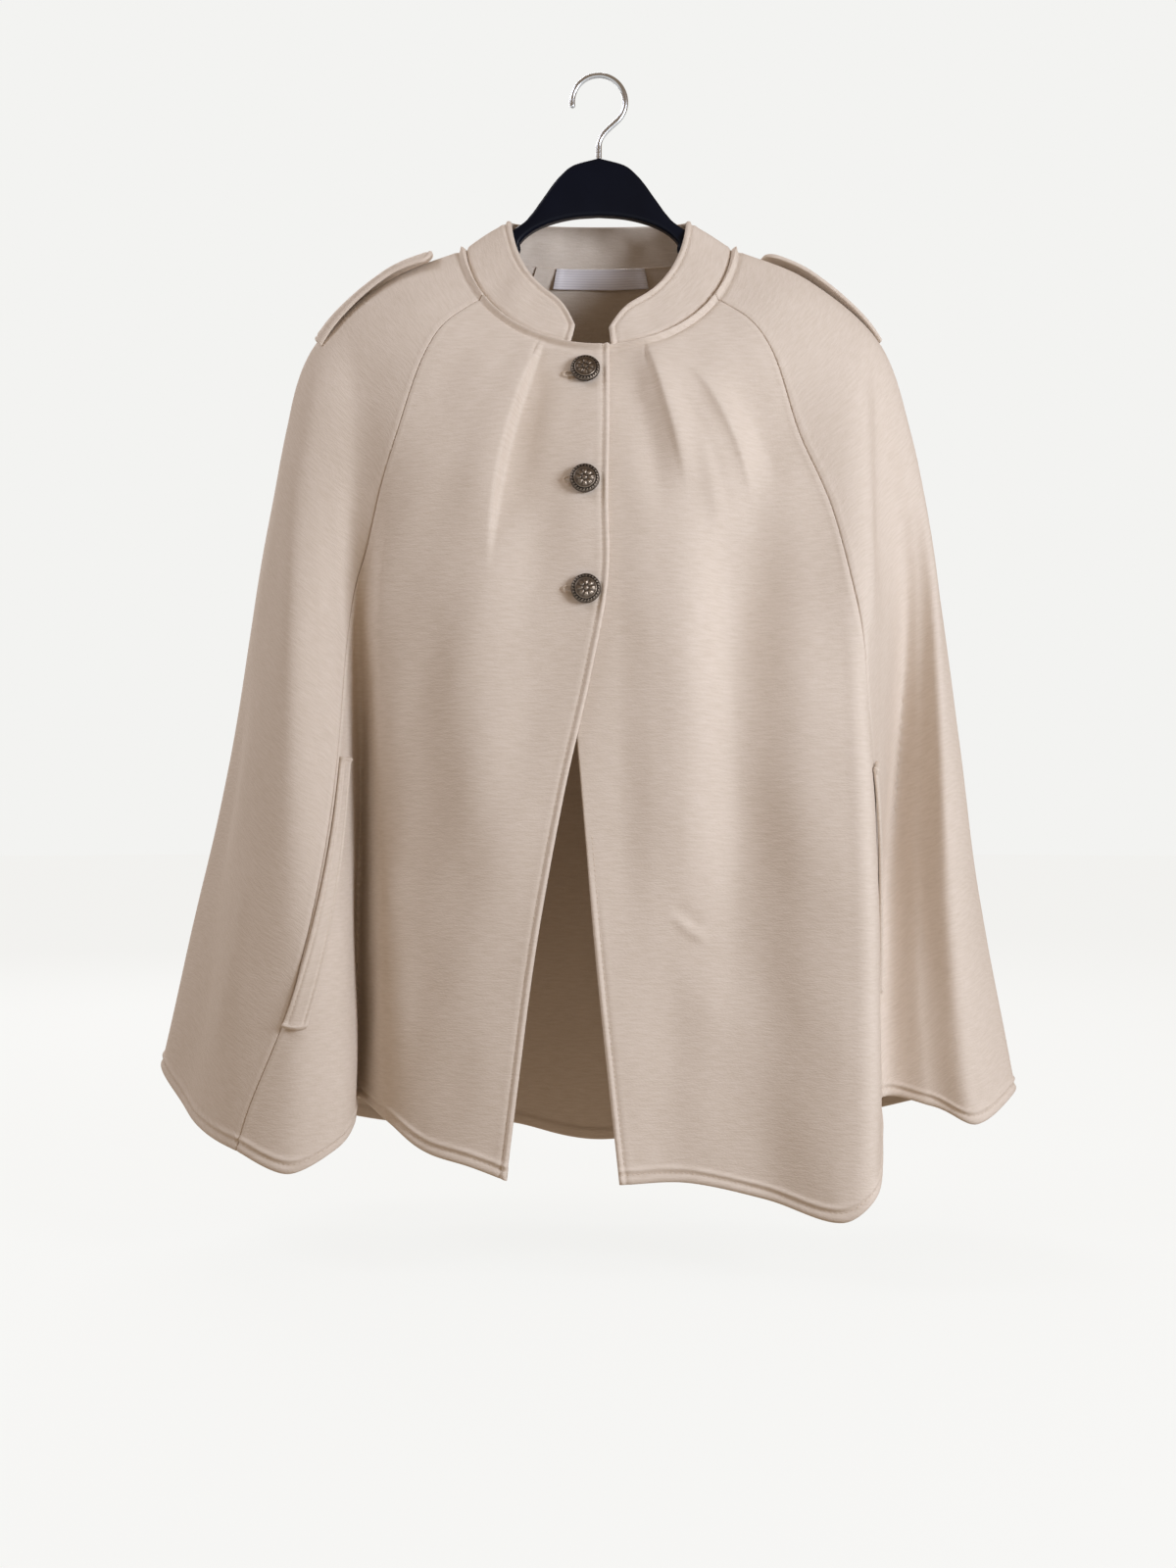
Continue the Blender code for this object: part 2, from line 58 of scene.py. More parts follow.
# %% Camera
PICTURE_HIGH = 1600
FOCAL_PIXELS = 2286
SENSOR = 36
camera = bpy.data.objects.new("camera", bpy.data.cameras.new("camera"))
bpy.context.scene.collection.objects.link(camera)
camera.location = (-0.0077, -1.6, -0.504)
camera.rotation_euler = (math.radians(90), 0, 0)
camera.data.sensor_fit = "VERTICAL"
camera.data.sensor_height = SENSOR
camera.data.lens = SENSOR * FOCAL_PIXELS / PICTURE_HIGH
bpy.context.scene.camera = camera
print("lens:", round(camera.data.lens, 2), "mm")

# %% [markdown]
# ## Finishes
# A colour is written as the hex value that a screen shows, and one function turns it to the
# linear value that the shader wants. A second function adds a node, sets its properties and
# fills its inputs with values or links. The finishes share four ways of using it: a colour, a
# roughness and a bump that follow a pattern, and a grain whose size is in millimetres.


# %% Helpers for materials
def linear(code):
    parts = [int(code[i:i + 2], 16) / 255 for i in (1, 3, 5)]
    return tuple(p / 12.92 if p <= 0.04045 else ((p + 0.055) / 1.055) ** 2.4 for p in parts) + (1,)


def add_node(tree, kind, inputs, **settings):
    made = tree.nodes.new(kind)
    for key, value in settings.items():
        setattr(made, key, value)
    for key, value in inputs.items():
        if isinstance(value, bpy.types.NodeSocket):
            tree.links.new(value, made.inputs[key])
        else:
            made.inputs[key].default_value = value
    return made


def new_finish(name, **constants):
    """Material with a Principled shader whose fixed values are set on its own sockets."""
    made = bpy.data.materials.new(name)
    made.use_nodes = True
    shader = made.node_tree.nodes["Principled BSDF"]
    for key, value in constants.items():
        shader.inputs[key.replace("_", " ")].default_value = value
    return made, made.node_tree, shader


def tinted(tree, shader, factor, dark, light):
    mixed = add_node(
        tree, "ShaderNodeMix", {"Factor": factor, "A": linear(dark), "B": linear(light)},
        data_type="RGBA",
    )
    tree.links.new(mixed.outputs["Result"], shader.inputs["Base Color"])


def glossed(tree, shader, factor, low, high):
    rough = add_node(tree, "ShaderNodeMapRange", {"Value": factor, "To Min": low, "To Max": high})
    tree.links.new(rough.outputs["Result"], shader.inputs["Roughness"])


def embossed(tree, shader, height, strength, deep):
    raised = add_node(
        tree, "ShaderNodeBump", {"Height": height, "Strength": strength, "Distance": deep * MM},
    )
    tree.links.new(raised.outputs["Normal"], shader.inputs["Normal"])


def grain(tree, size, detail):
    where = add_node(tree, "ShaderNodeTexCoord", {}).outputs["Object"]
    return add_node(
        tree, "ShaderNodeTexNoise", {"Vector": where, "Scale": 1000 / size, "Detail": detail},
    ).outputs["Fac"]


# %% [markdown]
# ### Double knit
# The cloth is a dense double jersey of viscose and wool, heavy enough to stand in folds. Its
# courses run level and show as faint slub streaks a few millimetres apart, and a short nap
# softens its edges. The streaks read the panel's own UV map, which is in metres along and
# across the courses, so they follow the cloth. The loops are finer than a pixel, so the bump is
# drawn at about twice their size.


# %% Double knit
def knit_finish(name, light, dark):
    made, tree, shader = new_finish(
        name, Roughness=0.9, Specular_IOR_Level=0.25, Sheen_Weight=0.22, Sheen_Roughness=0.45,
        Sheen_Tint=linear("#fff4e8"),
    )
    where = add_node(tree, "ShaderNodeUVMap", {}, uv_map="cloth").outputs["UV"]

    def slub(along, up, detail):
        scaled = add_node(
            tree, "ShaderNodeMapping", {"Vector": where, "Scale": (1000 / along, 1000 / up, 1)},
        )
        return add_node(
            tree, "ShaderNodeTexNoise",
            {"Vector": scaled.outputs["Vector"], "Scale": 1.0, "Detail": detail, "Roughness": 0.6},
            noise_dimensions="2D",
        ).outputs["Fac"]

    streak = slub(11.0, 1.7, 4.0)
    cloud = slub(70.0, 45.0, 2.0)
    loop = slub(2.2, 0.9, 1.0)
    spread = add_node(
        tree, "ShaderNodeMapRange",
        {"Value": streak, "From Min": 0.28, "From Max": 0.72, "To Min": 0.0, "To Max": 0.72},
    ).outputs["Result"]
    amount = add_node(
        tree, "ShaderNodeMath", {0: cloud, 1: 0.35, 2: spread}, operation="MULTIPLY_ADD",
    ).outputs["Value"]
    tinted(tree, shader, amount, dark, light)
    relief = add_node(
        tree, "ShaderNodeMath", {0: streak, 1: 1.4, 2: loop}, operation="MULTIPLY_ADD",
    ).outputs["Value"]
    embossed(tree, shader, relief, 0.36, 0.4)
    return made


KNIT = knit_finish("cream double knit", "#e2d7cc", "#d5c9bb")
THREAD, _, _ = new_finish(
    "polyester thread", Base_Color=linear("#d9cbba"), Roughness=0.6, Sheen_Weight=0.2,
)
print("made", KNIT.name, "and", THREAD.name)

# %% [markdown]
# ## The jacket's form
# The cloth is one form, with a place that runs round it and a share that runs down it from neck
# to hem: 0 is the right front edge, 1 and 2 the right raglan seams, 3 the centre back, 4 and 5
# the left raglan seams and 6 the left front edge. A table gives the sections, and a second one
# gives each ridge and hollow of the drape where it reaches the hem. These are the CAD model's
# own sizes, so the cloth lies on its solids.

# %% Sections and folds
Section = namedtuple(
    "Section",
    "share half_width side_drop front_depth front_drop back_depth back_drop dip raglan"
    " right_edge left_edge",
)
SECTIONS = (
    Section(0.00, 95, 122, 60, 201, 45, 126, 0.9, 57, 7, -22),
    Section(0.09, 150, 145, 79, 252, 66, 184, 1.9, 49, 7, -24),
    Section(0.19, 200, 189, 91, 308, 80, 248, 1.9, 43, 6, -26),
    Section(0.29, 222, 254, 98, 365, 88, 312, 1.8, 45, 6, -27),
    Section(0.40, 237, 324, 104, 427, 92, 382, 1.7, 46, -5, -20),
    Section(0.55, 254, 421, 110, 512, 98, 478, 1.5, 47, -24, -12),
    Section(0.75, 277, 549, 119, 625, 104, 606, 1.3, 49, -44, -2),
    Section(1.00, 310, 709, 130, 766, 112, 766, 1.1, 50, -62, 13),
)
Fold = namedtuple("Fold", "name top hem x y drop start full")
FOLDS = (
    Fold("right front edge", 0.00, 0.00, -62, -122, 766, 0.40, 1.00),
    Fold("right swell", 0.34, 0.13, -88, -113, 758, 0.30, 1.00),
    Fold("right face", 0.70, 0.30, -118, -97, 751, 0.17, 0.70),
    Fold("right recess wall", 0.98, 0.50, -146, -72, 734, 0.17, 0.70),
    Fold("right recess", 1.10, 0.62, -170, -26, 724, 0.17, 0.70),
    Fold("right ridge, inner side", 1.17, 0.73, -168, -64, 738, 0.17, 0.70),
    Fold("right ridge", 1.23, 0.81, -177, -92, 750, 0.17, 0.70),
    Fold("right flap", 1.30, 0.90, -208, -108, 764, 0.17, 0.70),
    Fold("right slit seam", 1.38, 1.00, -245, -88, 752, 0.17, 0.70),
    Fold("right flap, side", 1.48, 1.30, -293, -14, 734, 0.20, 0.75),
    Fold("right side", 1.57, 1.55, -319, 35, 710, 0.26, 0.60),
    Fold("right side, rear", 1.78, 1.78, -303, 78, 710, 0.30, 1.00),
    Fold("right back seam", 2.00, 2.00, -270, 102, 730, 0.30, 1.00),
    Fold("back ridge 1", 2.22, 2.20, -212, 130, 754, 0.30, 1.00),
    Fold("back hollow 1", 2.45, 2.42, -150, 100, 760, 0.34, 1.00),
    Fold("back ridge 2", 2.72, 2.68, -75, 132, 764, 0.26, 1.00),
    Fold("back centre", 3.00, 3.00, 0, 104, 774, 0.38, 1.00),
    Fold("back ridge 3", 3.28, 3.30, 80, 130, 766, 0.30, 1.00),
    Fold("back hollow 2", 3.54, 3.56, 150, 102, 760, 0.36, 1.00),
    Fold("back ridge 4", 3.78, 3.80, 212, 126, 754, 0.28, 1.00),
    Fold("left back seam", 4.00, 4.00, 262, 98, 738, 0.30, 1.00),
    Fold("left side, rear", 4.22, 4.24, 296, 66, 728, 0.30, 1.00),
    Fold("left side", 4.42, 4.42, 305, 36, 728, 0.26, 0.90),
    Fold("left side ridge", 4.58, 4.68, 269, -18, 744, 0.20, 0.80),
    Fold("left recess, rear", 4.66, 4.88, 235, -5, 733, 0.20, 0.75),
    Fold("left slit seam", 4.72, 5.00, 203, 5, 729, 0.20, 0.75),
    Fold("left fold, inner side", 4.78, 5.16, 193, -72, 749, 0.20, 0.70),
    Fold("left fold", 4.85, 5.30, 180, -152, 770, 0.20, 0.70),
    Fold("left crest", 4.95, 5.42, 156, -162, 786, 0.20, 0.70),
    Fold("left face", 5.42, 5.66, 108, -134, 776, 0.24, 0.65),
    Fold("left hollow", 5.70, 5.84, 58, -124, 767, 0.34, 0.95),
    Fold("left front edge", 6.00, 6.00, 13, -126, 768, 0.50, 1.00),
)
print(len(SECTIONS), "sections and", len(FOLDS), "folds")

# %% [markdown]
# A smooth curve through a table's rows gives every size between them. The functions work on
# whole arrays of points at once, because a panel has tens of thousands.


# %% The form as functions of place and share
CLOTH = 2.0
SEAM_GAP = 0.3
OVERLAP_TUCK = 3.3
SIDE_SOFTNESS = 0.02


def ease(start, full, value):
    t = np.clip((value - start) / (full - start), 0.0, 1.0)
    return t * t * (3.0 - 2.0 * t)


def unit(vectors):
    return vectors / np.linalg.norm(vectors, axis=-1, keepdims=True)


def through(knots, values, at):
    """Smooth curve through rows of values at rows of knots, one row for each point."""
    every = np.arange(len(at))
    i = (knots[:, 1:-1] < at[:, None]).sum(axis=1)
    steps = [np.clip(i + step, 0, knots.shape[1] - 1) for step in (-1, 0, 1, 2)]
    k0, k1, k2, k3 = (knots[every, s][:, None] for s in steps)
    v0, v1, v2, v3 = (values[every, s] for s in steps)
    span = k2 - k1
    t = (at[:, None] - k1) / span
    return (
        (2 * t**3 - 3 * t**2 + 1) * v1
        + (t**3 - 2 * t**2 + t) * span * (v2 - v0) / (k2 - k0)
        + (3 * t**2 - 2 * t**3) * v2
        + (t**3 - t**2) * span * (v3 - v1) / (k3 - k1)
    )


def ring_points(at, turn):
    """Points of a section at turns from its front, and how deep the section is there."""
    cosine = np.cos(turn)
    depth = np.where(cosine > 0, at.front_depth, at.back_depth)
    drop = np.where(cosine > 0, at.front_drop, at.back_drop)
    power = at.dip / 2
    low = SIDE_SOFTNESS**power
    fall = ((cosine**2 + SIDE_SOFTNESS) ** power - low) / ((1 + SIDE_SOFTNESS) ** power - low)
    points = np.stack((
        at.half_width * np.sin(turn), -depth * cosine,
        -(at.side_drop + (drop - at.side_drop) * fall),
    ), axis=1)
    return points, depth


def smooth_form(place, share):
    """Points of the form before it is folded, their level outward directions and their turns."""
    table = np.array(SECTIONS, dtype=float)
    size = (len(share), len(SECTIONS))
    values = through(
        np.broadcast_to(table[:, 0], size), np.broadcast_to(table, (*size, table.shape[1])), share,
    )
    at = Section(*values.T)
    right = np.degrees(np.arcsin(at.right_edge / at.half_width))
    left = np.degrees(np.arcsin(at.left_edge / at.half_width))
    stations = np.stack((
        right, -at.raglan, at.raglan - 180, np.full(len(share), -180.0),
        -180 - at.raglan, at.raglan - 360, left - 360,
    ), axis=1)
    i = np.clip(place.astype(int), 0, 5)
    every = np.arange(len(share))
    turn = np.radians(
        stations[every, i] + (place - i) * (stations[every, i + 1] - stations[every, i])
    )
    points, depth = ring_points(at, turn)
    out = np.stack(
        (np.sin(turn) / at.half_width, -np.cos(turn) / depth, np.zeros(len(turn))), axis=1,
    )
    return points, unit(out), turn


FOLD_TABLE = np.array([fold[1:] for fold in FOLDS], dtype=float)
TOP, HEM, START, FULL = (FOLD_TABLE[:, i] for i in (0, 1, 5, 6))
HEM_POINTS = FOLD_TABLE[:, 2:5] * (1, 1, -1)
HEM_SHIFTS = HEM_POINTS - smooth_form(HEM, np.ones(len(HEM)))[0]


def tucked(x, place, share):
    """How far the left front's edge lies below the right front."""
    deep = OVERLAP_TUCK * (1.0 - ease(12, 36, x)) * (1.0 - ease(0.60, 0.74, share))
    return np.where(place > 5.0, deep, 0.0)


def form(place, share):
    points, out, _ = smooth_form(place, share)
    along = np.clip((share[:, None] - START) / (1.0 - START), 0.0, 1.0)
    deep = ease(START, FULL, share[:, None])
    aside = ease(0.36, 1.0, share[:, None]) * np.ones(len(FOLDS))
    shifts = HEM_SHIFTS * np.stack((aside, deep, aside), axis=2)
    draped = points + through(TOP + (HEM - TOP) * along, shifts, place)
    return draped - out * tucked(points[:, 0], place, share)[:, None]


def outward(place, share):
    step = 0.004
    across = form(np.minimum(6.0, place + step), share) - form(np.maximum(0.0, place - step), share)
    down = form(place, np.minimum(1.0, share + step)) - form(place, np.maximum(0.0, share - step))
    return unit(np.cross(across, down))


def on_grid(function, place, share):
    """The form or its outward directions on a grid of places and shares."""
    return function(place.ravel(), share.ravel()).reshape(*place.shape, 3)


hem_mid = form(np.array([3.0]), np.array([1.0]))[0]
print("centre back hem at", hem_mid.round(1), "mm")

# %% [markdown]
# ## Creases
# The drape's large folds are in the form. On top of them are the creases that hanging and
# wearing have left: the two pleats sewn shut at the neck, soft folds that fan out below them,
# dents and long ripples. Each is a row with its two ends, as seen from the front, the back or
# the side, how far it bows, how far it reaches to either side, and its height. A short reach on
# one side makes that side steep, as below a pleat.

# %% Table of creases
Crease = namedtuple(
    "Crease", "view name across drop to_across to_drop bow low_reach high_reach height",
)
CREASES = (
    Crease("front", "right pleat, sewn", -41, 197, -46, 216, -1, 1.2, 1.2, -1.6),
    Crease("front", "right pleat, upper layer", -42, 203, -75, 350, -7, 30, 2.2, 6.5),
    Crease("front", "right pleat, lower layer", -39, 205, -71, 345, -7, 2.4, 30, -6),
    Crease("front", "fold from the right pleat", -78, 330, -88, 560, -4, 26, 24, 5.0),
    Crease("front", "right shoulder, ridge", -202, 190, -200, 420, 0, 22, 14, 4),
    Crease("front", "right shoulder, hollow", -172, 195, -170, 380, 2, 12, 26, -6),
    Crease("front", "placket hollow", -38, 240, -48, 520, 0, 26, 34, -7),
    Crease("front", "left pleat, sewn", 31, 198, 33, 218, 0, 1.2, 1.2, -1.6),
    Crease("front", "left pleat, hollow", 20, 222, 42, 320, 1, 12, 10, -3.2),
    Crease("front", "left pleat, ridge", 32, 203, 58, 300, 1, 9, 22, 5.4),
    Crease("front", "second fold", 65, 220, 106, 308, 4, 6.5, 12, 3.4),
    Crease("front", "second fold, hollow", 54, 236, 88, 318, 4, 9, 6, -2.2),
    Crease("front", "hollow past it", 88, 226, 126, 300, 5, 8, 20, -2.6),
    Crease("front", "fold below the left pleat", 54, 330, 50, 620, 4, 30, 22, 6.5),
    Crease("front", "long hollow", 89, 320, 90, 650, 3, 19, 27, -11),
    Crease("front", "left shoulder, hollow", 120, 225, 104, 440, 0, 28, 30, -9),
    Crease("front", "left shoulder, ridge", 178, 200, 174, 430, 0, 22, 12, 8),
    Crease("front", "dent", 50, 586, 68, 602, -1, 3.5, 6, -1.5),
    Crease("front", "dent, lip", 50, 592, 72, 609, -1, 3, 5, 1.8),
    Crease("front", "left shoulder, outer hollow", 198, 205, 202, 400, 0, 10, 12, -5),
    Crease("front", "third fold", 68, 258, 82, 335, 2, 7, 11, 2.8),
    Crease("front", "left pleat, fold line", 32, 201, 59, 300, 1, 2.8, 8, 3.4),
    Crease("front", "second fold, fold line", 66, 222, 104, 302, 4, 2.4, 5, 1.9),
    Crease("front", "ripple below the dent", 70, 630, 60, 745, 2, 16, 16, 1.8),
    Crease("right", "slit ripple", -64, 560, -58, 690, -4, 14, 10, 1.8),
    Crease("right", "rear ripple", 62, 330, 66, 600, 5, 18, 24, -3.2),
    Crease("right", "rear ridge", 30, 280, 34, 470, -4, 20, 16, 2.6),
    Crease("left", "rear ripple", 58, 300, 70, 640, 6, 20, 22, -3.4),
    Crease("left", "rear ridge", 20, 330, 26, 560, 3, 16, 20, 2.6),
    Crease("back", "yoke ripple, right", -70, 190, -96, 360, -6, 18, 14, -4.0),
    Crease("back", "yoke ridge, right", -48, 200, -62, 330, -4, 14, 20, 3.0),
    Crease("back", "yoke ripple, left", 58, 186, 92, 330, 5, 14, 20, -3.6),
    Crease("back", "hollow below the neck", -12, 150, -4, 300, 3, 26, 30, -3.0),
    Crease("back", "seat ripple", 24, 430, 34, 640, -5, 16, 20, 3.0),
    Crease("back", "seat hollow", -110, 470, -122, 690, 4, 18, 16, -3.0),
    Crease("back", "dent", 118, 520, 104, 548, 1, 5, 8, -2.4),
)
FACING = {"front": (0, -1, 0), "back": (0, 1, 0), "right": (-1, 0, 0), "left": (1, 0, 0)}


def creased(points, normals):
    """Height of the creases at points of the form, each crease only on the side it is seen from."""
    total = np.zeros(points.shape[:2])
    drop = -points[..., 2]
    for crease in CREASES:
        across = points[..., 1] if crease.view in ("right", "left") else points[..., 0]
        run = np.array((crease.to_across - crease.across, crease.to_drop - crease.drop))
        length = math.hypot(*run)
        along = ((across - crease.across) * run[0] + (drop - crease.drop) * run[1]) / length**2
        aside = ((across - crease.across) * run[1] - (drop - crease.drop) * run[0]) / length
        aside = aside - crease.bow * 4 * along * (1 - along)
        reach = np.where(aside < 0, crease.low_reach, crease.high_reach)
        fade = ease(-0.12, 0.22, along) * (1.0 - ease(0.62, 1.12, along))
        seen = ease(0.05, 0.4, normals @ np.array(FACING[crease.view], dtype=float))
        total += crease.height * np.exp(-((aside / reach) ** 2)) * fade * seen
    return total


print(len(CREASES), "creases")

# %% [markdown]
# ## Cutting a panel
# A panel is a grid laid on the form, with its lines drawn together along its edges, where the
# hem, the front edge and the seams need them. The outer wall is moved out by the creases and by
# the sewn edges: a turned hem has a groove where it is stitched and a soft roll on both sides.
# The inner wall follows at the cloth's thickness. A grid operator makes the faces and an
# extrusion gives the second wall and the rim, so only the points' places are worked out here.

# %% Grid of a panel
EDGE_STEPS = np.array((0, 0.2, 0.5, 0.9, 1.4, 2.0, 2.7, 3.5, 4.4, 5.5, 7.0, 9.0, 11.5))
NECK_STEPS = np.array((0, 0.3, 0.8, 1.4, 2.1, 2.9, 3.8, 4.8, 6.0, 7.6, 9.6))
HEM_STEPS = np.concatenate(((0, 0.2, 0.5, 0.9, 1.4), np.arange(2.0, 21.0, 0.9)))
PANEL_LONG = 600.0
PANEL_ROWS = np.concatenate((
    NECK_STEPS / PANEL_LONG, np.linspace(12.5 / PANEL_LONG, 1 - 24.0 / PANEL_LONG, 200),
    1 - HEM_STEPS[::-1] / PANEL_LONG,
))
ROW_SAMPLES = 300
Panel = namedtuple("Panel", "name first last first_free last_free between")
PANELS = (
    Panel("front_right", 0.0, 1.0, True, False, 116),
    Panel("side_right", 1.0, 2.0, False, False, 96),
    Panel("back", 2.0, 4.0, False, False, 150),
    Panel("side_left", 4.0, 5.0, False, False, 96),
    Panel("front_left", 5.0, 6.0, False, True, 116),
)


def run_lengths(points, axis):
    """Distances walked along a grid's rows or columns."""
    step = np.linalg.norm(np.diff(points, axis=axis), axis=2)
    pad = [(0, 0), (0, 0)]
    pad[axis] = (1, 0)
    return np.pad(np.cumsum(step, axis=axis), pad)


def grid_area(points):
    """Area in square metres of a grid of points in millimetres."""
    quads = np.cross(points[1:, 1:] - points[:-1, :-1], points[1:, :-1] - points[:-1, 1:])
    return np.linalg.norm(quads, axis=2).sum() / 2 * MM**2


def spaced(size, count):
    """Steps along a length, drawn together at both ends."""
    middle = np.linspace(EDGE_STEPS[-1], size - EDGE_STEPS[-1], count)[1:-1]
    return np.concatenate((EDGE_STEPS, middle, size - EDGE_STEPS[::-1]))


def lay(panel):
    """Places of the panel's grid, rows by columns, spaced by their distance along each row."""
    samples = np.linspace(panel.first, panel.last, ROW_SAMPLES)
    place, share = np.meshgrid(samples, PANEL_ROWS)
    points = on_grid(form, place, share)
    rows = []
    for row in run_lengths(points, 1):
        first = 0.0 if panel.first_free else SEAM_GAP / 2
        last = row[-1] - (0.0 if panel.last_free else SEAM_GAP / 2)
        rows.append(np.interp(first + spaced(last - first, panel.between), row, samples))
    return np.array(rows)


laid = {panel.name: lay(panel) for panel in PANELS}
print({name: grid.shape for name, grid in laid.items()})


# %% Edges and seams of a panel
HEM_GROOVE = 6.4
EDGE_GROOVE = 4.6
FAR = 1e3


def bump(distance, at, wide, high):
    return high * np.exp(-(((distance - at) / wide) ** 2))


def rounded(distance, radius):
    """Fall of a rounded edge, from its radius at the very edge to nothing."""
    inside = np.clip(radius - distance, 0.0, radius)
    return radius - np.sqrt(np.maximum(0.0, radius**2 - inside**2))


def stitched_edge(distance, roll):
    """Roll of a turned edge, the groove where it is stitched and a faint rise past it."""
    return (
        bump(distance, 6.6, 2.2, 0.3) - bump(distance, EDGE_GROOVE, 1.1, 0.75)
        + bump(distance, 1.9, 1.6, roll)
    )


Cut = namedtuple("Cut", "outer inner normal cloth_map from_first from_last from_hem flat area")


def cut(panel):
    place = laid[panel.name]
    share = np.broadcast_to(PANEL_ROWS[:, None], place.shape)
    base, normal = on_grid(form, place, share), on_grid(outward, place, share)
    across = run_lengths(base, 1)
    down = run_lengths(base, 0)
    from_first, from_last = across, across[:, -1:] - across
    from_neck, from_hem = down, down[-1:] - down
    x, z = base[..., 0], base[..., 2]
    hidden = tucked(x.ravel(), place.ravel(), share.ravel()).reshape(x.shape) / OVERLAP_TUCK
    soft = creased(base, normal) * ease(1.0, 14.0, from_neck)
    ripple = 0.45 * np.sin(place * 13.1 + share * 9.0) * np.sin(share * 21.0 + place * 5.3)
    ripple += 0.3 * np.sin(place * 29.0 - share * 17.0 + 1.3)
    soft = soft + ripple * ease(4.0, 40.0, from_neck) * (1.0 - hidden)
    free = np.full(x.shape, FAR)
    seam = np.full(x.shape, FAR)
    for is_free, distance in ((panel.first_free, from_first), (panel.last_free, from_last)):
        if is_free:
            free = np.minimum(free, distance)
        else:
            seam = np.minimum(seam, distance)
    sewn = bump(from_hem, 9.2, 1.7, 1.2) - bump(from_hem, HEM_GROOVE, 1.3, 0.5)
    sewn += bump(from_hem, 3.0, 2.2, 0.8)
    sewn += stitched_edge(free, 1.0) * (1 - hidden)
    sewn += bump(from_neck, 2.3, 1.5, 3.0) - bump(from_neck, 5.5, 1.2, 0.9)
    sewn += bump(seam, 3.2, 1.6, 0.3)
    fall = np.maximum.reduce([
        rounded(from_hem, 1.6), rounded(free, 1.3), rounded(seam, 1.1), rounded(from_neck, 1.0),
    ])
    thick = CLOTH + 1.3 * (1.0 - ease(6.5, 10.0, from_hem))
    thick += 0.5 * (1.0 - ease(3.0, 6.0, free)) * (1 - hidden)
    rise = np.maximum.reduce([rounded(from_hem, 1.6), rounded(free, 1.0)])
    outer = base + normal * (soft + sewn - fall)[..., None]
    inner = base + normal * (soft - thick + rise)[..., None]
    level = down if panel.name.startswith("side") else -z
    middle = across[:, across.shape[1] // 2][:, None]
    cloth_map = np.stack(((across - middle) * MM, -level * MM), axis=2)
    flat = (across[:, -1].max() * MM, down[-1].max() * MM)
    return Cut(
        outer, inner, normal, cloth_map, from_first, from_last, from_hem, flat, grid_area(base),
    )


cuts = {panel.name: cut(panel) for panel in PANELS}
for name, made in cuts.items():
    print(name, "cut", [round(v, 3) for v in made.flat], "m, area", round(made.area, 4), "m2")

# %% [markdown]
# One function closes such a pair of grids into a wall and keeps its map, and another turns a
# mesh in millimetres into a finished object in metres: at the origin, riding on the one body,
# with its material, and hiding the CAD node that it stands for.


# %% Walls and finished objects
def finish_piece(name, bm, surface, node=None, sharp=40):
    bmesh.ops.scale(bm, vec=(MM, MM, MM), verts=bm.verts)
    bmesh.ops.recalc_face_normals(bm, faces=bm.faces)
    mesh = bpy.data.meshes.new(name)
    bm.to_mesh(mesh)
    bm.free()
    mesh.shade_smooth()
    mesh.set_sharp_from_angle(angle=math.radians(sharp))
    mesh.materials.append(surface)
    made = bpy.data.objects.new(name, mesh)
    bpy.context.scene.collection.objects.link(made)
    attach(made, "root")
    if node:
        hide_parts(node)
    return made


def wall(name, outer, inner, cloth_map, surface, node):
    down, across = outer.shape[0] - 1, outer.shape[1] - 1
    bm = bmesh.new()
    bmesh.ops.create_grid(bm, x_segments=across, y_segments=down, size=0.5)
    column = bm.verts.layers.int.new("column")
    row = bm.verts.layers.int.new("row")
    for vert in bm.verts:
        vert[column] = round((vert.co.x + 0.5) * across)
        vert[row] = round((vert.co.y + 0.5) * down)
    made = bmesh.ops.extrude_face_region(bm, geom=bm.faces[:], use_keep_orig=True)
    inside = {item for item in made["geom"] if isinstance(item, bmesh.types.BMVert)}
    for vert in bm.verts:
        vert.co = (inner if vert in inside else outer)[vert[row], vert[column]]
    places = bm.loops.layers.uv.new("cloth")
    for face in bm.faces:
        for loop in face.loops:
            loop[places].uv = cloth_map[loop.vert[row], loop.vert[column]]
    for layer in ("column", "row"):
        bm.verts.layers.int.remove(bm.verts.layers.int[layer])
    return finish_piece(name, bm, surface, node, sharp=60)


# %% Sew the five panels
for name, made in cuts.items():
    sewn_panel = wall(f"{name}_cloth", made.outer, made.inner, made.cloth_map, KNIT, name)
    print(sewn_panel.name, len(sewn_panel.data.polygons), "faces")

# %% [markdown]
# ## The stand collar
# The collar is a straight band about 38 mm high, sewn to the neckline and leaning in towards the
# neck, with its two front corners rounded and stitches about 4.6 mm from its edge. It is the
# same kind of grid, from the neck seam up to a smaller ring.

# %% Collar
COLLAR_PLACES = (0.265, 5.74)
COLLAR_CLOTH = 2.6
COLLAR_CORNER = 43.0
COLLAR_END = 0.45
TOP_RING = Section(0, 63, 102, 44, 172, 38, 97, 0.9, 57, 7, -22)


def collar_lines(places):
    """Feet of the collar on the neck seam, its top edge, and the outward directions of both."""
    neck = np.zeros(len(places))
    feet = form(places, neck)
    foot_out = outward(places, neck)
    turn = smooth_form(places, neck)[2]
    tops, depth = ring_points(TOP_RING, turn)
    lean = unit(tops - feet)
    wide = SECTIONS[0].half_width
    around = np.stack((wide * np.cos(turn), depth * np.sin(turn), np.zeros(len(turn))), axis=1)
    out = unit(np.cross(lean, around))
    out *= np.sign((out * foot_out).sum(axis=1))[:, None]
    return feet + lean * SEAM_GAP, tops, foot_out, out


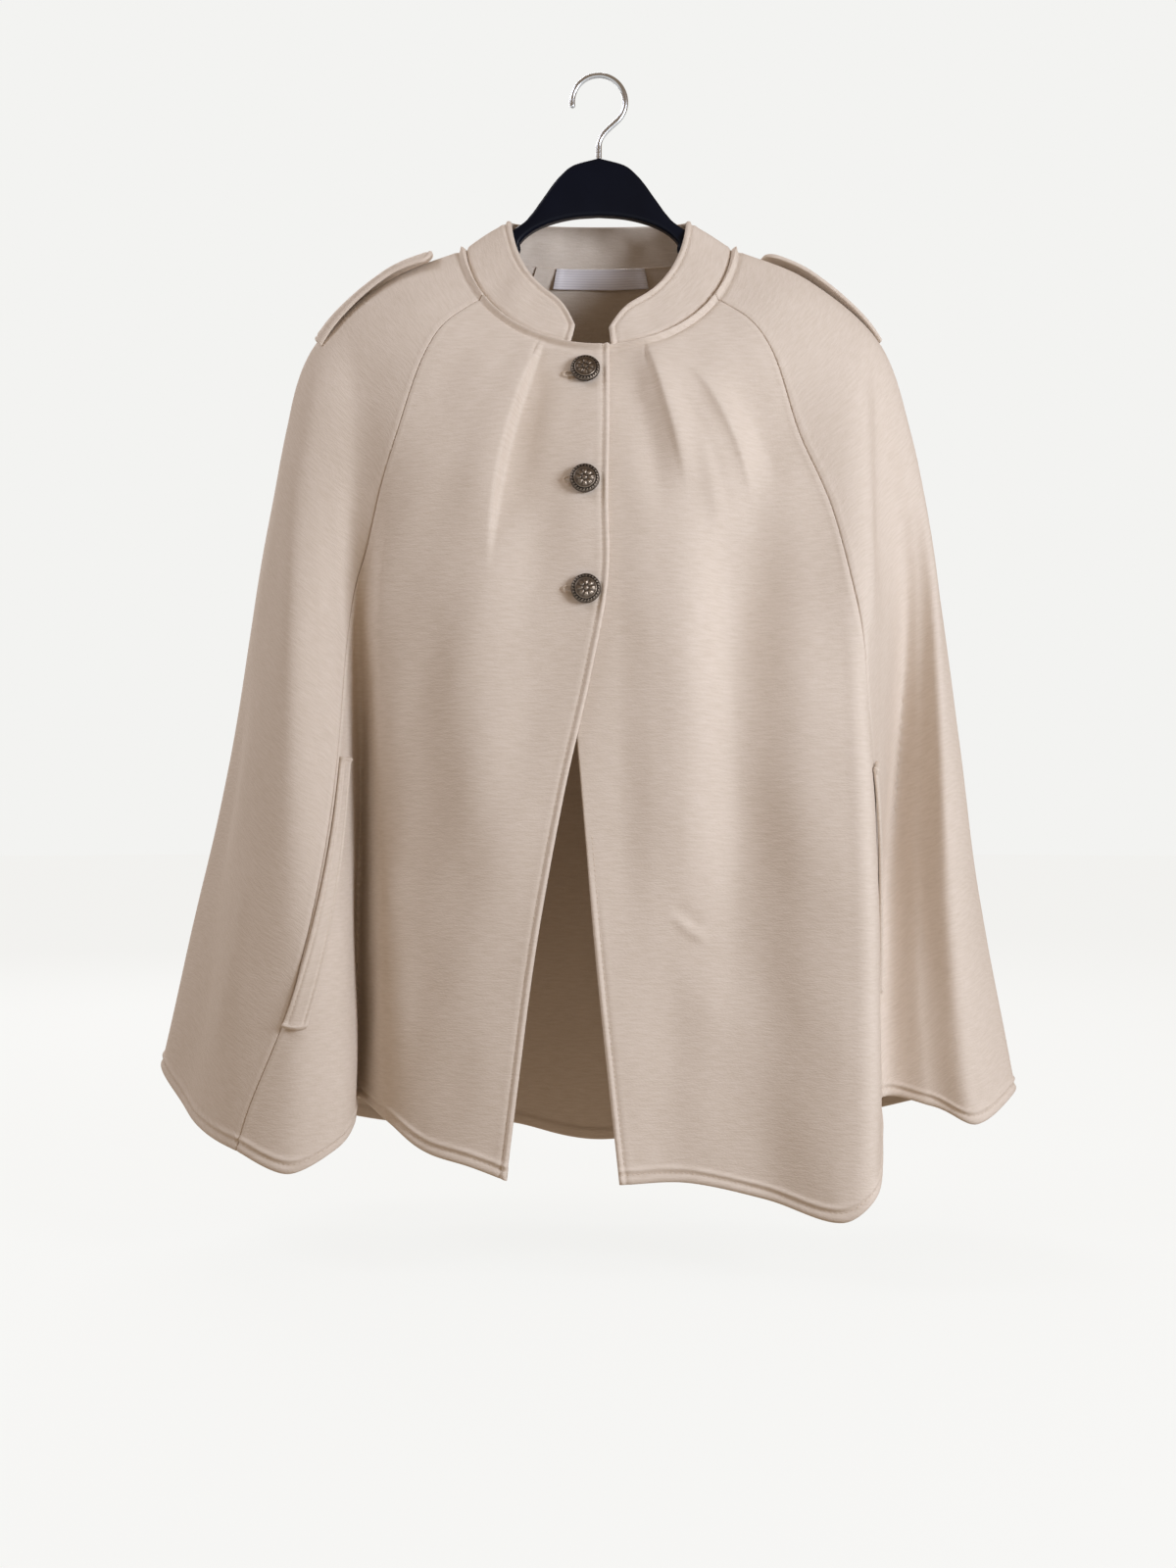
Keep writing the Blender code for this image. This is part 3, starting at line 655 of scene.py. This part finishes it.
fine = np.linspace(*COLLAR_PLACES, 1200)
fine_feet = collar_lines(fine)[0]
walk = run_lengths(fine_feet[None], 1)[0]
stops = spaced(walk[-1], 250)
collar_places = np.interp(stops, walk, fine)
feet, tops, foot_out, top_out = collar_lines(collar_places)
from_end = np.minimum(stops, walk[-1] - stops)
rounding = 1.0 - np.clip(1.0 - from_end / COLLAR_CORNER, 0.0, 1.0) ** 3.4
heights = np.linalg.norm(tops - feet, axis=1) * (COLLAR_END + (1.0 - COLLAR_END) * rounding)
slope = np.gradient(heights, stops)
part = np.concatenate((
    np.linspace(0, 0.12, 6)[:-1], np.linspace(0.12, 0.74, 18), np.linspace(0.74, 1.0, 19)[1:],
))
up = part[:, None] * heights
lean = unit(tops - feet)
blend = np.minimum(1.0, part * 2)[:, None, None]
collar_out = unit(foot_out * (1 - blend) + top_out * blend)
collar_base = feet + lean * up[..., None]
from_rim = np.minimum(from_end, (heights - up) / np.hypot(1.0, slope))
sewn = stitched_edge(from_rim, 0.9) - bump(up, 0.0, 1.5, 1.4)
roll = 0.9 * np.sin(collar_places * 9.0 + 0.7) * np.sin(part[:, None] * math.pi)
roll += 0.7 * np.sin(collar_places * 17.0) * np.sin(part[:, None] * math.pi) ** 2
fall = rounded(from_rim, COLLAR_CLOTH / 2)
collar_outer = collar_base + collar_out * (roll + sewn - fall)[..., None]
collar_inner = collar_base + collar_out * (roll - COLLAR_CLOTH + fall)[..., None]
collar_map = np.stack((np.broadcast_to(stops * MM, up.shape), up * MM), axis=2)
collar = wall("collar_cloth", collar_outer, collar_inner, collar_map, KNIT, "collar")
print("collar", round(walk[-1]), "mm round,", round(heights.max(), 1), "mm high")

# %% [markdown]
# ## Shoulder tabs and welts
# A tab is sewn in at the end of each shoulder and arches up to a free, rounded end towards the
# neck. A welt is a folded strip along each arm slit, with a bar of stitches at both ends. Both
# are laid on the form's points, moved out.


# %% Strips laid on the form
STRIP_STEPS = (0, 0.2, 0.5, 0.9, 1.4, 2.0, 2.6, 3.2, 3.8, 4.6)
STRIP_GROOVE = 3.2
STRIP_INSIDE = 5.6


def strip(node, places, shares, lift, thick, corner=0.0, bars=0.0):
    """Strip on the form with all four edges rounded, its lift given for each share."""
    wide = np.linalg.norm(np.diff(form(np.array(places), np.full(2, np.mean(shares))), axis=0))
    long = np.linalg.norm(np.diff(form(np.full(2, np.mean(places)), np.array(shares)), axis=0))
    edge, inside = np.array(STRIP_STEPS), STRIP_INSIDE
    away, along = np.meshgrid(*(
        np.concatenate((edge, np.linspace(inside, size - inside, count), size - edge[::-1]))
        for size, count in ((wide, 14), (long, max(20, int(long / 2.6))))
    ))
    share = shares[0] + (shares[1] - shares[0]) * along / long
    if corner:
        short = np.maximum(0.0, corner - np.minimum(away, wide - away))
        pulled = corner - np.sqrt(corner**2 - short**2)
        share = share + (shares[1] - shares[0]) * pulled / long * np.clip(1 - along / 40.0, 0, 1)
    place = places[0] + (places[1] - places[0]) * away / wide
    base, normal = on_grid(form, place, share), on_grid(outward, place, share)
    rim = np.minimum.reduce([away, wide - away, along, long - along])
    sewn = bump(rim, 1.6, 1.2, 0.3) - bump(rim, STRIP_GROOVE, 0.7, 0.5) + bump(rim, 5.0, 1.4, 0.25)
    sewn += bars * (bump(along, 2.2, 1.7, 1.0) + bump(long - along, 2.2, 1.7, 1.0))
    fall = rounded(rim, thick / 2 - 0.1)
    up = lift(share)
    outer = base + normal * (up + thick + sewn - fall)[..., None]
    inner = base + normal * (up + fall)[..., None]
    cloth_map = np.stack((away * MM, -along * MM), axis=2)
    made = wall(f"{node}_cloth", outer, inner, cloth_map, KNIT, node)
    print(made.name, round(wide, 1), "by", round(long, 1), "mm")
    return outer, normal


TAB = (0.035, 0.19)
SLIT = (0.575, 0.85)


def tab_lift(share):
    arch = np.sin(np.clip((share - TAB[0]) / (TAB[1] - TAB[0]), 0, 1) * math.pi)
    return 0.7 + 3.6 * (1.0 - ease(TAB[0], 0.15, share)) + 2.6 * arch


def welt_lift(share):
    return np.full(share.shape, 0.8)


strips = {}
for side, places in (("right", (1.357, 1.643)), ("left", (4.214, 4.50))):
    node = f"epaulette_{side}"
    strips[node] = strip(node, places, TAB, tab_lift, 2.6, corner=12.0)
for side, places in (("right", (0.952, 0.996)), ("left", (5.004, 5.048))):
    node = f"welt_{side}"
    strips[node] = strip(node, places, SLIT, welt_lift, 2.4, bars=1.3)

# %% [markdown]
# ## Stitches
# Topstitching runs in the grooves of the hem, the front edges, the collar, the tabs and the
# welts. A lockstitch shows as a row of short, slightly plump dashes. Each is a small stretched
# icosphere of 20 faces, turned along its line, because there are more than a thousand of them.
# The left front's edge is stitched only below the overlap, where it shows.

# %% Rows of stitches
STITCH = namedtuple("Stitch", "pitch long wide high")(3.6, 2.5, 0.55, 0.45)
FIRST_STITCHED_ROW = {"front_right": 2, "front_left": 132}
ROWS_IN_HEM = 14


def level_line(values, distance, points, axis):
    """Line on a grid of points where a distance has a value, found along rows or columns."""
    if axis == 1:
        values, points = values.T, points.transpose(1, 0, 2)
    line = []
    for column in range(points.shape[1]):
        order = np.argsort(values[:, column])
        known, places = values[order, column], points[order, column]
        line.append([np.interp(distance, known, places[:, k]) for k in range(3)])
    return np.array(line)


def add_dash(bm, matrix):
    bmesh.ops.create_icosphere(bm, subdivisions=1, radius=1.0, matrix=matrix)


def sew(name, lines):
    """One joined mesh of stitches along lines, each a pair of points and outward directions."""
    bm = bmesh.new()
    count = 0
    for points, normals in lines:
        walk = run_lengths(points[None], 1)[0]
        for at in np.arange(STITCH.pitch, walk[-1] - STITCH.pitch, STITCH.pitch):
            middle, ahead, out = (
                Vector([np.interp(where, walk, source[:, k]) for k in range(3)])
                for where, source in ((at, points), (at + 0.5, points), (at, normals))
            )
            forward = (ahead - middle).normalized()
            side = out.cross(forward).normalized()
            turn = Matrix((forward, side, forward.cross(side))).transposed().to_4x4()
            size = Matrix.Diagonal((STITCH.long / 2, STITCH.wide / 2, STITCH.high / 2, 1.0))
            add_dash(bm, Matrix.Translation(middle) @ turn @ size)
            count += 1
    finish_piece(name, bm, THREAD, sharp=180)
    print(name, count, "stitches")


for name, made in cuts.items():
    walls = (made.outer, made.normal)
    seams = [[level_line(made.from_hem, HEM_GROOVE, grid, 0) for grid in walls]]
    if name in FIRST_STITCHED_ROW:
        edge = made.from_first if name == "front_right" else made.from_last
        stitched = slice(FIRST_STITCHED_ROW[name], -ROWS_IN_HEM)
        seams.append([level_line(edge, EDGE_GROOVE, grid, 1)[stitched] for grid in walls])
    sew(f"{name}_stitches", seams)

groove = int(np.searchsorted(stops, EDGE_GROOVE))
sew("collar_stitches", [[
    level_line(from_rim, EDGE_GROOVE, grid, 0)[groove + 1:-groove - 1]
    for grid in (collar_outer, np.broadcast_to(collar_out, collar_outer.shape))
]])
near = STRIP_STEPS.index(STRIP_GROOVE)
far, between = -near - 1, slice(near, -near)
for name, grids in strips.items():
    sew(f"{name}_stitches", [
        [grid[run] for grid in grids]
        for run in ((near, between), (far, between), (between, near), (between, far))
    ])

# %% [markdown]
# ## Buttons and buttonholes
# The buttons are cast shank buttons in antique brass: a low dome with a roped rim, a plain ring
# and eight petals. A profile is spun round the button's axis, and the points are then raised by a
# formula for the relief. The relief is kept as an attribute too, because plating of this kind is
# rubbed bright where it stands up and left almost black in the hollows.

# %% Antique brass
BRASS, tree, shader = new_finish("antique brass", Metallic=1.0, Roughness=0.36)
raised = add_node(tree, "ShaderNodeAttribute", {}, attribute_name="raised").outputs["Fac"]
worn = add_node(
    tree, "ShaderNodeMath", {0: grain(tree, 1.6, 3.0), 1: 0.5, 2: raised}, operation="MULTIPLY_ADD",
)
shown = add_node(
    tree, "ShaderNodeMapRange", {"Value": worn.outputs["Value"], "From Min": 0.3, "From Max": 1.15},
).outputs["Result"]
tinted(tree, shader, shown, "#1f1a17", "#94877a")
glossed(tree, shader, shown, 0.55, 0.28)
print("made", BRASS.name)

# %% Three buttons
BUTTON = namedtuple("Button", "across dome rim standoff shank")(20.0, 4.6, 1.6, 1.6, 3.6)
BUTTON_X = -9.5
BUTTON_DROPS = (222.0, 299.0, 372.0)


def seat(panel, x, drop):
    """Point of a panel's outer wall and its outward direction, as seen from the front."""
    made = cuts[panel]
    gap = np.hypot(made.outer[..., 0] - x, made.outer[..., 2] + drop)
    at = np.unravel_index(np.argmin(gap), gap.shape)
    return Vector(made.outer[at]), Vector(made.normal[at])


def turned(point, out):
    """Matrix that sets a piece made along Z on a point, facing outward."""
    return Matrix.Translation(point) @ out.to_track_quat("Z", "Y").to_matrix().to_4x4()


def button_relief(radius, angle):
    share = radius / (BUTTON.across / 2)

    def band(at, wide, value=share):
        return float(bump(value, at, wide, 1.0))

    rope = 0.34 * math.sin(26 * angle + 7 * share) * band(0.86, 0.07)
    ring = 0.30 * band(0.70, 0.045) - 0.35 * band(0.77, 0.03)
    petal = 0.55 * abs(math.cos(4 * angle)) ** 1.5 * band(0.40, 0.16)
    vein = -0.25 * band(0.0, 0.16, abs(math.sin(4 * angle))) * band(0.42, 0.15)
    boss = 0.45 * band(0.0, 0.13) - 0.25 * band(0.20, 0.04)
    return rope + ring + petal + vein + boss


def button(name, drop):
    point, out = seat("front_right", BUTTON_X, drop)
    radius = BUTTON.across / 2
    low, foot = -OVERLAP_TUCK + 0.5, BUTTON.standoff
    crown = foot + BUTTON.rim
    profile = [(0.0, low), (BUTTON.shank / 2, low), (BUTTON.shank / 2, foot)]
    profile += [(radius - 0.9, foot), (radius - 0.25, foot + 0.25), (radius, foot + 0.9)]
    dome = np.concatenate((np.linspace(1.0, 0.60, 15), np.linspace(0.60, 0.0, 17)[1:]))
    profile += [
        (radius * r, crown + (BUTTON.dome - BUTTON.rim) * math.sqrt(1 - 0.98 * r * r)) for r in dome
    ]
    bm = bmesh.new()
    verts = [bm.verts.new((x, 0.0, z)) for x, z in profile]
    edges = [bm.edges.new(pair) for pair in zip(verts, verts[1:])]
    bmesh.ops.spin(
        bm, geom=verts + edges, axis=(0, 0, 1), cent=(0, 0, 0), angle=math.tau, steps=96,
        use_merge=True,
    )
    bmesh.ops.remove_doubles(bm, verts=bm.verts, dist=0.001)
    layer = bm.verts.layers.float.new("raised")
    for vert in bm.verts:
        if vert.co.z > crown + 0.3:
            x, y, _ = vert.co
            relief = button_relief(math.hypot(x, y), math.atan2(y, x))
            vert.co.z += relief
            vert[layer] = 0.35 + 1.1 * relief
    bmesh.ops.transform(bm, matrix=turned(point, out), verts=bm.verts)
    return finish_piece(f"{name}_brass", bm, BRASS, name, sharp=70)


for number, drop in enumerate(BUTTON_DROPS, start=1):
    made = button(f"button_{number}", drop)
    print(made.name, len(made.data.polygons), "faces")

# %% [markdown]
# A level buttonhole is worked in the right front behind each button, and its outer end looks out
# beside the rim. Its edge is a ring of close satin stitches, so the same small dash is set round a
# long oval, each across the edge.

# %% Worked buttonholes
HOLE = namedtuple("Hole", "long tall shift lift pitch dash")(
    19.0, 3.4, -5.5, 0.15, 0.75, (1.25, 0.42, 0.42),
)


def buttonhole(name, drop):
    point, out = seat("front_right", BUTTON_X + HOLE.shift, drop)
    turn = turned(point + out * HOLE.lift, out)
    size = Matrix.Diagonal((*HOLE.dash, 1.0))
    half = (HOLE.long - HOLE.tall) / 2
    straight, round_end = 2 * half, math.pi * HOLE.tall / 2
    bm = bmesh.new()
    for along in np.arange(0.0, 2 * (straight + round_end), HOLE.pitch):
        lap = along % (straight + round_end)
        flip = -1 if along >= straight + round_end else 1
        if lap < straight:
            x, y, angle = -half + lap, HOLE.tall / 2, math.pi / 2
        else:
            angle = math.pi / 2 - (lap - straight) / round_end * math.pi
            x, y = half + HOLE.tall / 2 * math.cos(angle), HOLE.tall / 2 * math.sin(angle)
        spin = Matrix.Rotation(angle + (math.pi if flip < 0 else 0), 4, "Z")
        place = Matrix.Translation((flip * x, flip * y, 0.0))
        add_dash(bm, turn @ place @ spin @ size)
    made = finish_piece(name, bm, THREAD, sharp=180)
    print(name, len(made.data.polygons), "faces")


for number, drop in enumerate(BUTTON_DROPS, start=1):
    buttonhole(f"buttonhole_{number}", drop)

# %% [markdown]
# ## Inside the back of the neck
# A bare satin label and a small hanging loop are caught in the neck seam and hang just inside
# the back. Satin is woven with long floats, so it has a fine rib and a soft gloss.

# %% Woven satin
RIB = 0.9
SATIN, tree, shader = new_finish(
    "woven satin", Roughness=0.42, Sheen_Weight=0.15, Base_Color=linear("#e4e0e6"),
)
where = add_node(tree, "ShaderNodeUVMap", {}, uv_map="cloth").outputs["UV"]
rib = add_node(
    tree, "ShaderNodeTexWave",
    {"Vector": where, "Scale": 1000 / RIB / math.tau, "Distortion": 0.6}, bands_direction="Y",
).outputs["Fac"]
embossed(tree, shader, rib, 0.3, 0.2)
tinted(tree, shader, rib, "#dad6dd", "#ebe8ec")
print("made", SATIN.name)


# %% Label and loop
def neck_strip(name, node, left, right, long, lift, thick, surface):
    """Strip inside the back that hangs from the neck seam between two x, lifted by a formula."""
    across = np.linspace(left, right, max(9, int((right - left) / 1.6)))
    down = np.linspace(0.0, 1.0, 15)
    half_width, raglan = SECTIONS[0].half_width, SECTIONS[0].raglan
    places = 3.0 + np.degrees(np.arcsin(across / half_width)) / raglan
    neck = np.zeros(len(places))
    tops = form(places, neck)
    fall = unit(form(places, neck + 0.035) - tops)
    out = outward(places, neck)
    grid = tops + fall * (down * long)[:, None, None]
    away = CLOTH + 0.7 + lift(across[None, :], down[:, None] * long)
    outer = grid - out * away[..., None]
    inner = outer - out * thick
    cloth_map = np.stack(np.broadcast_arrays(across * MM, -down[:, None] * long * MM), axis=2)
    made = wall(name, outer, inner, cloth_map, surface, node)
    print(name, right - left, "by", long, "mm")


def label_lift(x, down):
    folded = 0.5 * (bump(x, -28.6, 2.2, 1.0) + bump(x, 31.6, 2.2, 1.0))
    return folded + down * (0.14 + 0.05 * np.sin(x * 0.16)) * ease(0.0, 8.0, down)


def loop_lift(_, down):
    return 0.06 * down


neck_strip(
    "neck_label_satin", "neck_label", -31.0, 34.0, 14.5, label_lift, 0.7, SATIN,
)
neck_strip("hang_loop_cloth", "hang_loop", -46.0, -36.0, 26.0, loop_lift, 1.0, KNIT)

# %% [markdown]
# ## Hanger and hook
# The hanger is a plain moulded one in blue-black ABS, with a domed middle, an arch below it and
# arms that follow the shoulders. Its outline is drawn as a smooth line through a few points,
# filled, extruded and given a soft edge. Moulded ABS has a slight pebble and a broad, dull gloss.

# %% Moulded ABS and bright wire
ABS, tree, shader = new_finish("blue-black ABS", Roughness=0.38, Specular_IOR_Level=0.15)
embossed(tree, shader, grain(tree, 1.2, 2.0), 0.12, 0.3)
handled = grain(tree, 45, 3.0)
glossed(tree, shader, handled, 0.30, 0.48)
tinted(tree, shader, handled, "#02050f", "#060d1f")
CHROME, tree, shader = new_finish(
    "bright steel wire", Base_Color=linear("#c4c6c9"), Metallic=1.0, Roughness=0.22,
)
glossed(tree, shader, grain(tree, 2.5, 2.0), 0.16, 0.30)
print("made", ABS.name, "and", CHROME.name)

# %% Hanger
HANGER = namedtuple("Hanger", "thick edge top arch_half arch_rise arch_top arm_deep arm_end")(
    12.0, 3.0, 58.0, 59.0, 28.0, 99.0, (24.0, 16.0), (9.0, 1.0),
)
ARM_SHARES = np.array((0.035, 0.07, 0.11, 0.15, 0.19))
NECK_CLEARANCE = 7.6
DOME = ((0, 0), (18, 5), (27, 12), (33, 19), (38, 26), (43, 33), (49, 41), (58, 49))


def smooth_line(points, per):
    points = np.array(points, dtype=float)
    at = np.linspace(0, len(points) - 1, (len(points) - 1) * per + 1)
    knots = np.broadcast_to(np.arange(len(points), dtype=float), (len(at), len(points)))
    return through(knots, np.broadcast_to(points, (len(at), *points.shape)), at)


def hanger_half(side):
    """Outline of one half: from the dome's top over the arm, and back below it to the arch."""
    place = np.full(len(ARM_SHARES), 3.0 + 1.5 * side)
    clear = CLOTH + 1.4 + 4.0 * (1.0 - ease(0.0, 0.08, ARM_SHARES))
    shoulder = form(place, ARM_SHARES) - outward(place, ARM_SHARES) * clear[:, None]
    arm = [(side * SECTIONS[0].half_width, -SECTIONS[0].side_drop - NECK_CLEARANCE)]
    arm += [(x, z) for x, _, z in shoulder]
    above = [(side * x, -HANGER.top - drop) for x, drop in DOME] + arm
    end_drop, end_in = HANGER.arm_end
    below = [(arm[-1][0] - side * end_in, arm[-1][1] - end_drop)]
    for i, (x, z) in enumerate(arm[-2::-1]):
        deep = HANGER.arm_deep[1] + (HANGER.arm_deep[0] - HANGER.arm_deep[1]) * (i + 1) / len(arm)
        below.append((x, z - deep))
    for i in range(6):
        angle = math.pi / 2 * i / 5
        rise = HANGER.arch_rise * (1.0 - math.sin(angle))
        below.append((side * HANGER.arch_half * math.cos(angle), -HANGER.arch_top - rise))
    return smooth_line(above, 4), smooth_line(below, 4)


left_above, left_below = hanger_half(1)
right_above, right_below = hanger_half(-1)
loop = np.concatenate((left_above, left_below, right_below[-2::-1], right_above[:0:-1]))
bm = bmesh.new()
face = bm.faces.new([bm.verts.new((x, HANGER.thick / 2, z)) for x, z in loop])
grown = bmesh.ops.extrude_face_region(bm, geom=[face], use_keep_orig=True)
moved = [item for item in grown["geom"] if isinstance(item, bmesh.types.BMVert)]
bmesh.ops.translate(bm, vec=(0, -HANGER.thick, 0), verts=moved)
rims = [edge for edge in bm.edges if abs(edge.verts[0].co.y - edge.verts[1].co.y) < 0.1]
bmesh.ops.bevel(
    bm, geom=rims, offset=HANGER.edge, offset_type="OFFSET", segments=5, profile=0.5,
    affect="EDGES", material=-1, clamp_overlap=True,
)
bmesh.ops.triangulate(bm, faces=[face for face in bm.faces if len(face.verts) > 4])
hanger = finish_piece("hanger_abs", bm, ABS, "hanger", sharp=50)
print("hanger", len(hanger.data.polygons), "faces")

# %% [markdown]
# The hook is bent from one length of wire: straight up out of the dome, then round a little more
# than half a turn. Rings of points are set square to its path and bridged, and the tip is drawn
# in to a rounded end.

# %% Hook
HOOK = namedtuple("Hook", "wire inside foot stem handle start sweep")(
    4.0, 17.0, 57.7, 9.0, 7.0, 48, 236,
)
ARC_STEPS = 48
BEND_STEPS = 14
up = Vector((0.0, 0.0, 1.0))
back = Vector((0.0, 1.0, 0.0))
centre = up * -HOOK.inside
radius = HOOK.inside + HOOK.wire / 2
turns = [math.radians(-HOOK.start + HOOK.sweep * i / ARC_STEPS) for i in range(ARC_STEPS + 1)]
arc = [centre + Vector((math.cos(a), 0.0, math.sin(a))) * radius for a in turns]
foot = up * -HOOK.foot
rise = foot + up * HOOK.stem
above = rise + up * HOOK.handle
start = math.radians(HOOK.start)
lead = arc[0] - Vector((math.sin(start), 0.0, math.cos(start))) * HOOK.stem
bend = [
    rise * (1 - t) ** 3 + above * 3 * t * (1 - t) ** 2 + lead * 3 * t**2 * (1 - t) + arc[0] * t**3
    for t in (i / BEND_STEPS for i in range(1, BEND_STEPS))
]
path = [foot, foot.lerp(rise, 0.5), rise] + bend + arc
tip = (arc[-1] - arc[-2]).normalized()
thin = [1.0] * len(path)
for away, part in ((0.7, 0.94), (1.3, 0.75), (1.7, 0.45)):
    path.append(arc[-1] + tip * away)
    thin.append(part)
bm = bmesh.new()
rings = []
for i, point in enumerate(path):
    forward = (path[min(len(path) - 1, i + 1)] - path[max(0, i - 1)]).normalized()
    across = forward.cross(back).normalized()
    turn = Matrix((across, back, forward)).transposed().to_4x4()
    ring = bmesh.ops.create_circle(
        bm, segments=20, radius=HOOK.wire / 2 * thin[i], matrix=Matrix.Translation(point) @ turn,
    )["verts"]
    rings.append([edge for edge in bm.edges if edge.verts[0] in ring and edge.verts[1] in ring])
for low, high in zip(rings, rings[1:]):
    bmesh.ops.bridge_loops(bm, edges=low + high)
bmesh.ops.contextual_create(bm, geom=rings[0])
bmesh.ops.contextual_create(bm, geom=rings[-1])
hook = finish_piece("hook_wire", bm, CHROME, "hook", sharp=50)
print("hook", len(hook.data.polygons), "faces")

# %% [markdown]
# ## Lights and floor
# A soft key stands in front on the right, so the left sides of the folds fall into warm shade.
# Two weaker, cooler lights skim both sides, and one behind keeps the back readable. A pale lit
# floor just below the hem takes the jacket's soft shadow.

# %% Studio
scene = bpy.context.scene
scene.view_settings.view_transform = "Standard"
world = bpy.data.worlds.new("studio")
scene.world = world
world.use_nodes = True
room = world.node_tree
room.nodes.clear()
seen = add_node(room, "ShaderNodeBackground", {"Color": linear("#f3f3f1"), "Strength": 1.0})
given = add_node(room, "ShaderNodeBackground", {"Color": linear("#ffe1c2"), "Strength": 0.33})
path = add_node(room, "ShaderNodeLightPath", {})
both = add_node(
    room, "ShaderNodeMixShader",
    {0: path.outputs["Is Camera Ray"], 1: given.outputs[0], 2: seen.outputs[0]},
)
add_node(room, "ShaderNodeOutputWorld", {"Surface": both.outputs[0]})

Lamp = namedtuple("Lamp", "name x y z watts size colour")
LAMP_AIM = Vector((0, 0, -0.4))
LAMPS = (
    Lamp("key", 1.22, -1.25, -0.10, 22.5, 0.6, "#eef4ff"),
    Lamp("right light", 1.60, -0.80, 0.00, 1.5, 0.8, "#e6eeff"),
    Lamp("left light", -1.50, -0.35, 0.90, 13.0, 0.8, "#e9f0ff"),
    Lamp("back light", -0.50, 1.90, 0.80, 30.0, 1.2, "#f6f8ff"),
)
for row in LAMPS:
    lamp = bpy.data.objects.new(row.name, bpy.data.lights.new(row.name, "AREA"))
    scene.collection.objects.link(lamp)
    lamp.location = (row.x, row.y, row.z)
    lamp.rotation_euler = (LAMP_AIM - lamp.location).to_track_quat("-Z", "Y").to_euler()
    lamp.data.size = row.size
    lamp.data.energy = row.watts
    lamp.data.color = linear(row.colour)[:3]

FLOOR = -0.83
FLOOR_RADIUS = 9.0
bm = bmesh.new()
bmesh.ops.create_circle(bm, cap_ends=True, segments=64, radius=FLOOR_RADIUS)
bmesh.ops.translate(bm, vec=(0, 0, FLOOR), verts=bm.verts)
floor_mesh = bpy.data.meshes.new("floor")
bm.to_mesh(floor_mesh)
bm.free()
ACRYLIC, _, _ = new_finish(
    "lit acrylic floor", Base_Color=linear("#4c4c4c"), Roughness=0.9, Specular_IOR_Level=0.0,
    Emission_Color=linear("#f3f3f1"), Emission_Strength=0.965,
)
floor_mesh.materials.append(ACRYLIC)
floor = bpy.data.objects.new("floor", floor_mesh)
scene.collection.objects.link(floor)
floor.visible_diffuse = False
print("floor at", FLOOR, "m")
